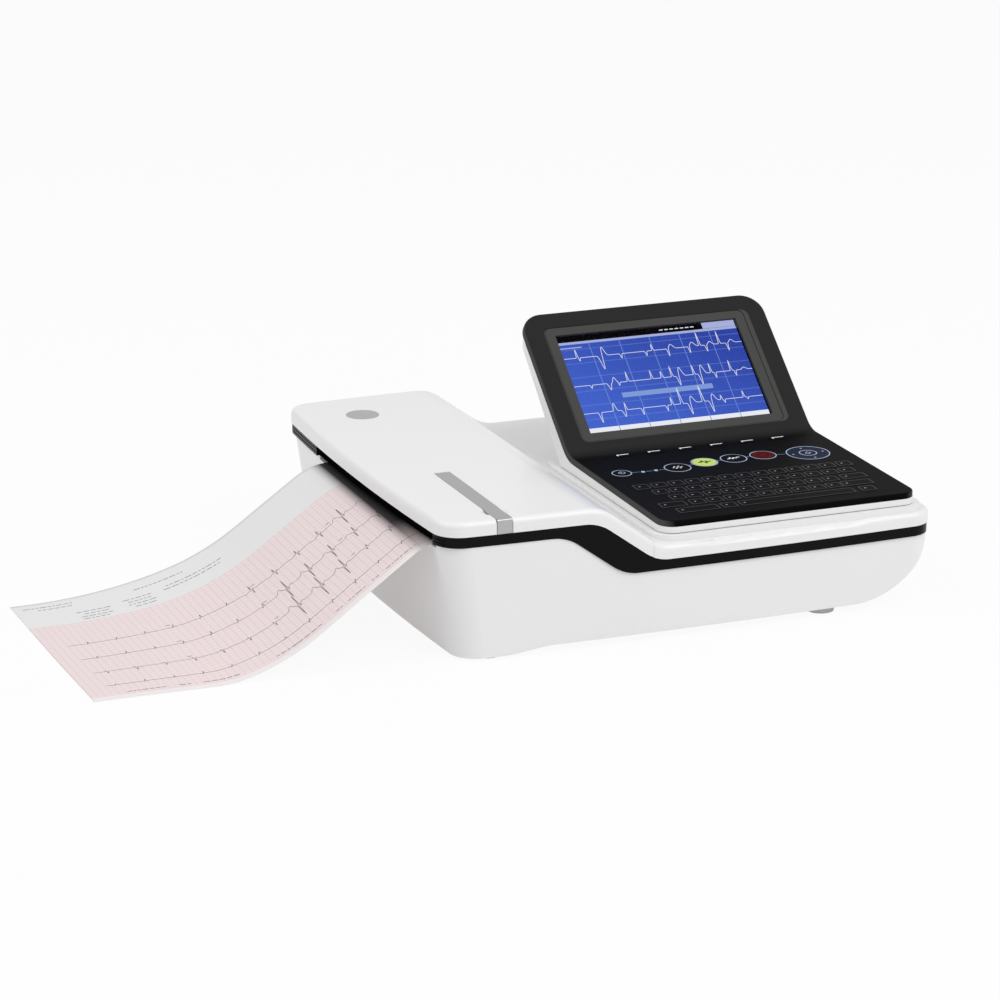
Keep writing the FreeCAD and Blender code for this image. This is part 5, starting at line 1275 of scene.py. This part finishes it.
@dataclass
class KeyField:
    """Keys on the console's lower plane, with their rings, signs and joining line."""

    proud: float = 0.3
    ring_width: float = 0.75
    ring_gap: float = 0.35
    line_width: float = 0.6
    sign_width: float = 1.0
    softkeys: int = 6
    softkey_first: float = -61.5
    softkey_pitch: float = 25.8
    dash_y: float = -12.7
    dash_ends: Spot = (-4.6, 4.8)
    dash_turn: float = 2.2
    dash_width: float = 1.15
    lights: tuple[Spot, ...] = ((-64.5, -56.9), (-54.0, -56.9))
    light_radius: float = 1.5
    nav: Spot = (70.7, -57.8)
    nav_radius: float = 17.0
    nav_line_inset: float = 0.3
    nav_ring_inset: float = 0.7
    nav_inner_ring: float = 6.5
    nav_dots: tuple[float, ...] = (12.2, 12.2, 0.8)
    diamond: Spot = (2.2, 0.7)
    standby: Spot = (2.4, 0.6)
    standby_angles: Spot = (125.0, 415.0)
    standby_bar: tuple[Spot, ...] = ((0, 0.6), (0, 3.0))
    lead_dots: tuple[float, ...] = (3.2, 2.4, 0.75)
    start_wave: tuple[Spot, ...] = ((-5.2, 0), (-2.4, 0), (-1.4, 2.8), (0.6, -3.0), (1.8, 1.2), (2.6, 0), (5.2, 0))
    start_width: float = 1.5
    rhythm_wave: tuple[Spot, ...] = ((-5.4, -0.6), (-3.6, -0.6), (-2.6, 1.8), (-1.2, -1.6), (0.2, 1.0), (1.6, -0.6),
                                     (3.4, 1.4), (5.2, 0.8))
    stop_radius: float = 8.6
    octagon: Spot = (4.4, 1.1)

    def __post_init__(self) -> None:
        """Sets the plane and the places of the round keys with their radii."""
        self.plane = Slope(CONSOLE_BEND, KEY_TILT)
        self.keys = {
            "power_key": ((-80.6, -54.5), 6.5),
            "leads_key": ((-36.3, -56.4), 9.2),
            "start_key": ((-11.9, -51.1), 9.2),
            "rhythm_key": ((12.6, -50.1), 9.2),
            "stop_key": ((36.9, -50.2), 9.2),
        }

    def dress(self) -> None:
        """Gives the panel, the keys and the lights their finishes."""
        dress(PANEL_FILM, "console_panel")
        dress(KEY_BLACK, "power_key", "leads_key", "rhythm_key", "stop_key")
        dress(NAV_NAVY, "nav_pad", "nav_select")
        dress(KEY_BLACK, *[f"softkey_{i + 1}" for i in range(self.softkeys)])
        dress(KEY_GREEN, "start_key")
        dress(STATUS_LENS, "status_leds")

    def draw(self, name: str, finish: Finish, body: str, shapes: list[Shape]) -> bpy.types.Object:
        """Makes one printed layer."""
        return Shape.join(shapes).piece(name, finish, body)

    def line(self, points: Sequence[Spot], width: float, lift: float) -> Shape:
        """A printed line through a few points."""
        return ribbon(np.array(points, float), width, self.plane.at, lift)

    def ring(self, centre: Spot, radius: float, width: float, lift: float) -> Shape:
        """A printed ring on the film or on a key's face."""
        return ribbon(arc(centre, radius), width, self.plane.at, lift, closed=True)

    def sign(self, centre: Spot, points: Sequence[Spot], width: float) -> Shape:
        """A line sign on a key's face, in offsets from the key's centre."""
        return self.line([(centre[0] + x, centre[1] + y) for x, y in points], width, self.proud)

    def dot(self, centre: Spot, radius: float) -> Shape:
        """A printed dot on a key's face."""
        return disc(centre, radius, self.plane.at, self.proud)

    def dots_round(self, centre: Spot, sizes: Sequence[float], count: int) -> list[Shape]:
        """Dots on an ellipse on a key's face.

        Args:
            centre: Middle of the ellipse.
            sizes: Its half axes and the radius of a dot.
            count: Number of dots.

        Returns:
            The dots.
        """
        wide, high, radius = sizes
        return [self.dot((centre[0] + wide * math.cos(a), centre[1] + high * math.sin(a)), radius)
                for a in np.radians(np.arange(0, 360, 360 // count))]

    def joining_line(self) -> list[Shape]:
        """Runs between neighbours along the row, from ring to ring.

        Returns:
            A line for each run.
        """
        stops = [self.keys["power_key"], *[(light, self.light_radius) for light in self.lights]]
        stops += [self.keys[name] for name in ("leads_key", "start_key", "rhythm_key", "stop_key")]
        stops.append((self.nav, self.nav_radius - self.nav_line_inset))
        off = self.ring_gap + self.ring_width
        runs = []
        for (a, first), (b, last) in zip(stops, stops[1:]):
            a, b = np.array(a), np.array(b)
            way = unit(b - a)
            runs.append(self.line([tuple(a + way * (first + off)), tuple(b - way * (last + off))],
                                  self.line_width, 0.0))
        return runs

    def signs(self) -> Iterator[bpy.types.Object]:
        """The sign of each round key.

        Returns:
            Each piece in turn.
        """
        power, leads, start, rhythm, stop = [centre for centre, _ in self.keys.values()]
        radius, width = self.standby
        ring = ribbon(arc(power, radius, *self.standby_angles, 24), width, self.plane.at, self.proud)
        sign = self.sign(power, self.standby_bar, self.sign_width)
        yield self.draw("power_sign", RING_INK, "power_key", [ring, sign])
        dots = self.dots_round(leads, self.lead_dots, 6)
        yield self.draw("leads_sign", WHITE_INK, "leads_key", dots + [self.dot(leads, self.lead_dots[2])])
        sign = self.sign(start, self.start_wave, self.start_width)
        yield self.draw("start_sign", BLACK_INK, "start_key", [sign])
        sign = self.sign(rhythm, self.rhythm_wave, self.sign_width)
        yield self.draw("rhythm_sign", WHITE_INK, "rhythm_key", [sign])
        face = disc(stop, self.stop_radius, self.plane.at, self.proud, THIN_INK)
        yield self.draw("stop_face", RED_INK, "stop_key", [face])
        radius, width = self.octagon
        octagon = ribbon(arc(stop, radius, 22.5, 382.5, 8), width, self.plane.at, self.proud + THIN_INK / 2,
                         closed=True)
        yield self.draw("stop_sign", DARK_RED_INK, "stop_key", [octagon])

    def softkey_dash(self, index: int) -> Shape:
        """White dash along the back of a soft key, turned down at its left end.

        Args:
            index: Number of the soft key, from nought.

        Returns:
            The dash.
        """
        x = self.softkey_first + index * self.softkey_pitch
        left, right = x + self.dash_ends[0], x + self.dash_ends[1]
        path = [(left, self.dash_y - self.dash_turn), (left, self.dash_y), (right, self.dash_y)]
        return self.line(path, self.dash_width, self.proud)

    def build(self) -> Iterator[bpy.types.Object]:
        """Makes every printed layer of the key field.

        Returns:
            Each piece in turn.
        """
        yield self.draw("key_line", LINE_INK, "base", self.joining_line())
        for i in range(self.softkeys):
            yield self.draw(f"softkey_dash_{i + 1}", WHITE_INK, f"softkey_{i + 1}", [self.softkey_dash(i)])
        for name, (centre, radius) in self.keys.items():
            ring = self.ring(centre, radius + self.ring_gap + self.ring_width / 2, self.ring_width, 0.0)
            yield self.draw(name.replace("key", "ring"), RING_INK, "base", [ring])
        yield from self.signs()
        radii = (self.nav_radius - self.nav_ring_inset, self.nav_inner_ring)
        rings = [self.ring(self.nav, radius, self.ring_width, self.proud) for radius in radii]
        yield self.draw("nav_rings", RING_INK, "nav_pad", rings + self.dots_round(self.nav, self.nav_dots, 4))
        radius, width = self.diamond
        diamond = ribbon(arc(self.nav, radius, count=4), width, self.plane.at, self.proud, closed=True)
        yield self.draw("nav_sign", RING_INK, "nav_select", [diamond])


@dataclass
class Keyboard:
    """Letter keyboard: a dark mat whose low caps have thin pale outlines and a small pip each."""

    cap_height: float = 0.3
    first_y: float = -91.0
    row_pitch: float = 15.2
    pitch: float = 13.7
    cap_width: float = 11.6
    cap_depth: float = 11.0
    inset: float = 0.4
    line: float = 0.4
    corner: float = 1.3
    pip_offset: Spot = (4.2, 0.6)
    pip_size: Spot = (1.5, 1.3)
    counts: tuple[int, ...] = (13, 12, 10, 9, 1)
    starts: tuple[float, ...] = (-80.7, -72.6, -66.2, -57.3, -39.5)
    wide: tuple = ((), (), ((76.0, 20.0),), ((-76.8, 20.0), (71.0, 24.0)), ((-64.0, 32.0), (15.0, 92.0), (72.0, 11.6)))

    def caps(self) -> Iterator[tuple[float, float, float]]:
        """Centre and width of every cap.

        Returns:
            Two coordinates and a width for each cap in turn.
        """
        for row, count in enumerate(self.counts):
            plain = [(self.starts[row] + i * self.pitch, self.cap_width) for i in range(count)]
            for x, width in plain + list(self.wide[row]):
                yield x, self.first_y - row * self.row_pitch, width

    def dress(self) -> None:
        """Gives the mat its finish."""
        dress(PANEL_FILM, "keypad_mat")

    def build(self) -> Iterator[bpy.types.Object]:
        """Makes the outlines and the pips.

        Returns:
            Each piece in turn.
        """
        place = Slope(CONSOLE_BEND, KEY_TILT).at
        outlines = [ribbon(rounded((x, y), width - 2 * self.inset, self.cap_depth - 2 * self.inset, self.corner),
                           self.line, place, self.cap_height, THIN_INK, True) for x, y, width in self.caps()]
        yield Shape.join(outlines).piece("cap_outlines", GREY_INK, "base")
        pips = [bar((x - width / 2 + self.pip_offset[0], y + self.pip_offset[1]), *self.pip_size, place,
                    self.cap_height, THIN_INK) for x, y, width in self.caps()]
        yield Shape.join(pips).piece("cap_pips", CAP_INK, "base")


@dataclass
class Screws:
    """Pan-head screws that hold the back panel and the battery hatch."""

    radius: float = 3.0
    height: float = 1.3
    slot_width: float = 0.9
    slot_length: float = 3.4
    slot_depth: float = 0.9
    dome: float = 0.7
    rings: int = 13
    sides: int = 48
    back_inset: float = 5.0
    hatch_inset: float = 7.0

    def head(self, centre: Point, normal: Point) -> Shape:
        """Head as heights over a round grid: a dome, height * sqrt(1 - dome * q ** 2), less a cross-shaped recess.

        Args:
            centre: Middle of the seat in millimetres.
            normal: Direction that the head faces.

        Returns:
            The head, closed by a fan at its middle and a skirt down to the seat.
        """
        share = np.linspace(1 / self.rings, 1.0, self.rings)[:, None]
        angle = np.linspace(0, 2 * math.pi, self.sides, endpoint=False)[None]
        x, y = share * self.radius * np.cos(angle), share * self.radius * np.sin(angle)
        along, across = np.maximum(abs(x), abs(y)), np.minimum(abs(x), abs(y))
        recess = (along < self.slot_length / 2) & (across < self.slot_width / 2)
        z = self.height * np.sqrt(1 - self.dome * share ** 2) - self.slot_depth * recess
        seat = np.stack([x[-1], y[-1], np.zeros(self.sides)], -1)
        middle = np.array([[0, 0, self.height - self.slot_depth]])
        local = np.concatenate([np.stack([x, y, z], -1).reshape(-1, 3), seat, middle])
        turn = np.array(Vector((0, 0, 1)).rotation_difference(Vector(normal)).to_matrix())
        ring, here = np.arange(self.rings)[:, None], np.arange(self.sides)[None]
        there = (here + 1) % self.sides
        inner, outer = ring * self.sides, (ring + 1) * self.sides
        quads = np.stack([inner + here, outer + here, outer + there, inner + there], -1).reshape(-1, 4)
        fan = np.stack([here[0], there[0], np.full(self.sides, (self.rings + 1) * self.sides)], 1)
        return Shape(local @ turn.T + np.array(centre), quads, fan)

    def build(self) -> Iterator[bpy.types.Object]:
        """Makes the rows of screws on the back panel and the underside.

        Returns:
            Each piece in turn.
        """
        low, high = (np.array(corner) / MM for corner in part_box("back_plate"))
        inset = self.back_inset
        back = [self.head((x, high[1], z), (0, 1, 0)) for x in (low[0] + inset, high[0] - inset)
                for z in (low[2] + inset, high[2] - inset)]
        yield Shape.join(back).piece("back_screws", STEEL, "base")
        low, high = (np.array(corner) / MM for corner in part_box("battery_hatch"))
        inset = self.hatch_inset
        under = [self.head((x, y, low[2]), (0, 0, -1)) for x in (low[0] + inset, high[0] - inset)
                 for y in (low[1] + inset, high[1] - inset)]
        yield Shape.join(under).piece("hatch_screws", STEEL, "base")


@dataclass
class Body:
    """Housings, trim, door with its strip and badge, and feet."""

    shells: tuple[str, ...] = ("lower_housing", "upper_housing", "writer_door", "console_shell", "battery_hatch")
    feet: tuple[str, ...] = ("foot_front_left", "foot_front_right", "foot_back_left", "foot_back_right")
    left: float = -196.0
    bow: float = 6.0
    half_depth: float = 173.5
    # painted shade: a black strip hung under the door's left rim, where the slot is dark
    gap_shade_ends: Spot = (-148.0, 85.5)
    gap_shade_inset: float = 1.1
    gap_shade_width: float = 1.2
    gap_shade_low: float = 87.6
    gap_shade_height: float = 5.4
    gap_shade_steps: int = 60

    def dress(self) -> None:
        """Gives the outer pieces their finishes."""
        dress(WHITE_SHELL, *self.shells)
        dress(BLACK_TRIM, "trim_band")
        dress(ALUMINIUM, "latch_lever")
        dress(BADGE_METAL, "door_badge")
        dress(SEAL_RUBBER, "console_gasket")
        dress(FOOT_RUBBER, *self.feet)

    def build(self) -> Iterator[bpy.types.Object]:
        """Makes a black strip of painted shade under the door's bowed left rim: x = left + bow * (y / half depth) ** 2
        + inset.

        Returns:
            Each piece in turn.
        """
        y = np.linspace(*self.gap_shade_ends, self.gap_shade_steps)
        x = self.left + self.bow * (y / self.half_depth) ** 2 + self.gap_shade_inset
        shape = ribbon(np.stack([x, y], 1), self.gap_shade_width, self.upright, self.gap_shade_low, self.gap_shade_height)
        yield shape.piece("door_gap_shade", GAP_SHADE_BLACK, "door")

    def upright(self, flat: np.ndarray, lift: float) -> np.ndarray:
        """Points over the plan at one height."""
        return np.concatenate([flat, np.full((len(flat), 1), lift)], 1)


@dataclass
class Writer:
    """Roller, gears, motor, print head, tray and paper under the door."""

    def dress(self) -> None:
        """Gives the inner pieces their finishes."""
        dress(ROLLER_RUBBER, "platen_roller")
        dress(STEEL, "platen_shaft", "writer_frame", "hinge_bracket_left", "hinge_bracket_right", "head_bracket")
        dress(BRONZE, "platen_bush_front", "platen_bush_back")
        dress(GEAR_NYLON, "platen_gear", "idler_gear")
        dress(PINION_BRASS, "motor_pinion")
        dress(MOTOR_METAL, "stepper_motor")
        dress(HEAD_CERAMIC, "print_head")
        dress(TEAR_STEEL, "tear_bar")
        dress(TRAY_PLASTIC, "paper_tray")
        dress(PAPER_PACK, "paper_pack", "printed_sheet")


@dataclass
class Electronics:
    """Boards, supply, battery and sockets."""

    def dress(self) -> None:
        """Gives the boards and the sockets their finishes."""
        dress(BOARD_GREEN, "main_board", "keypad_board")
        dress(STEEL, "power_supply", "network_port", "usb_ports")
        dress(BATTERY_CASE, "battery_pack")
        dress(SOCKET_BLACK, "back_plate", "mains_inlet", "patient_connector")
        dress(BRONZE, "equipotential_pin")


@dataclass
class PhotoCamera:
    """Camera at the photograph's viewing angle."""

    lens: float = 127.41
    sensor: float = 36.0
    shift: Spot = (0.00073, 0.00067)
    place: Point = (-1018.4, -2331.8, 826.3)
    right: Point = (0.92784, -0.37299, 0.0)
    up: Point = (0.10861, 0.27019, 0.95666)
    back: Point = (-0.35682, -0.88763, 0.29120)
    reach: float = 50.0

    def build(self) -> None:
        """Makes the camera and gives it to the scene."""
        data = bpy.data.cameras.new("photo_camera")
        data.lens = self.lens
        data.sensor_width = self.sensor
        data.shift_x, data.shift_y = self.shift
        data.clip_end = self.reach
        camera = bpy.data.objects.new("photo_camera", data)
        bpy.context.scene.collection.objects.link(camera)
        turn = Matrix((self.right, self.up, self.back)).transposed().to_4x4()
        camera.matrix_world = Matrix.Translation(Vector(self.place) * MM) @ turn
        bpy.context.scene.camera = camera


@dataclass
class Studio:
    """White floor and surroundings, with a large soft light from the front right and a weaker one from the left."""

    aim: Point = (0.0, 0.0, 0.05)
    floor_radius: float = 12.0
    floor_sides: int = 64
    floor_white: float = 0.82
    floor_glow: float = 0.92
    floor_bounce: float = 0.3
    ambient: float = 0.66
    key_power: float = 46.0
    key_place: Point = (0.9, -1.75, 2.3)
    key_size: float = 2.4
    fill_power: float = 22.0
    fill_place: Point = (-2.0, 0.2, 2.2)
    fill_size: float = 1.8

    def seen(self, paint: Paint) -> Wire:
        """One for rays from the camera, and those that mirrors and glass send on.

        Args:
            paint: Node tree that asks.

        Returns:
            The mask.
        """
        node = paint.add("ShaderNodeLightPath").socket.node
        rays = [Wire(paint, node.outputs[name]) for name in ("Is Camera Ray", "Is Glossy Ray", "Is Transmission Ray")]
        return rays[0].either(rays[1]).either(rays[2])

    def build_floor(self) -> None:
        """Makes a white disc that keeps a soft shadow."""
        sides = self.floor_sides
        rim = arc((0.0, 0.0), self.floor_radius / MM, count=sides)
        flat = np.concatenate([np.zeros((1, 2)), rim])
        points = np.concatenate([flat, np.zeros((sides + 1, 1))], 1)
        here = np.arange(sides)
        fan = np.stack([np.zeros(sides, int), here + 1, (here + 1) % sides + 1], 1)
        mesh = bpy.data.meshes.new("floor")
        mesh.from_pydata((points * MM).tolist(), [], fan.tolist())
        paint = Paint.named("floor_white")
        matt = paint.add("ShaderNodeBsdfDiffuse", None, {"Color": (*[self.floor_white] * 3, 1.0)})
        glow = paint.add("ShaderNodeEmission", None, {"Strength": 1.0})
        share = self.floor_bounce + self.seen(paint) * (self.floor_glow - self.floor_bounce)
        mesh.materials.append(paint.close(paint.add("ShaderNodeMixShader", None, {0: share, 1: matt, 2: glow})))
        floor = bpy.data.objects.new("floor", mesh)
        bpy.context.scene.collection.objects.link(floor)

    def build_world(self) -> None:
        """Surroundings that look white and light the object evenly."""
        world = bpy.data.worlds.new("surroundings")
        bpy.context.scene.world = world
        paint = Paint(world)
        strength = self.ambient + self.seen(paint) * (1.0 - self.ambient)
        light = paint.add("ShaderNodeBackground", None, {"Strength": strength})
        paint.end("ShaderNodeOutputWorld", light)

    def build_light(self, name: str, power: float, place: Point, size: float) -> None:
        """Makes one soft square light that faces the object.

        Args:
            name: The light's name.
            power: Power in watts.
            place: Where it hangs, in metres.
            size: Its side in metres.
        """
        data = bpy.data.lights.new(name, "AREA")
        data.energy = power
        data.size = size
        light = bpy.data.objects.new(name, data)
        light.location = place
        light.rotation_euler = (Vector(self.aim) - light.location).to_track_quat("-Z", "Y").to_euler()
        bpy.context.scene.collection.objects.link(light)

    def build(self) -> None:
        """Makes the floor, the surroundings and the lights."""
        self.build_floor()
        self.build_world()
        self.build_light("soft_light", self.key_power, self.key_place, self.key_size)
        self.build_light("fill_light", self.fill_power, self.fill_place, self.fill_size)
        bpy.context.scene.view_settings.view_transform = "Standard"


def main() -> None:
    """Builds every sub-assembly in order and reports its pieces."""
    logging.basicConfig(level=logging.INFO, format="%(name)s: %(message)s")
    PhotoCamera().build()
    Studio().build()
    body, page, display, keys, keyboard = Body(), ChartPage(), Display(), KeyField(), Keyboard()
    for part in (body, Writer(), Electronics(), display, keys, keyboard):
        part.dress()
    for part in (body, page, display, keys, keyboard, Screws()):
        for piece in part.build():
            LOG.info("%s: %d faces", piece.name, len(piece.data.polygons))


if __name__ == "__main__":
    main()
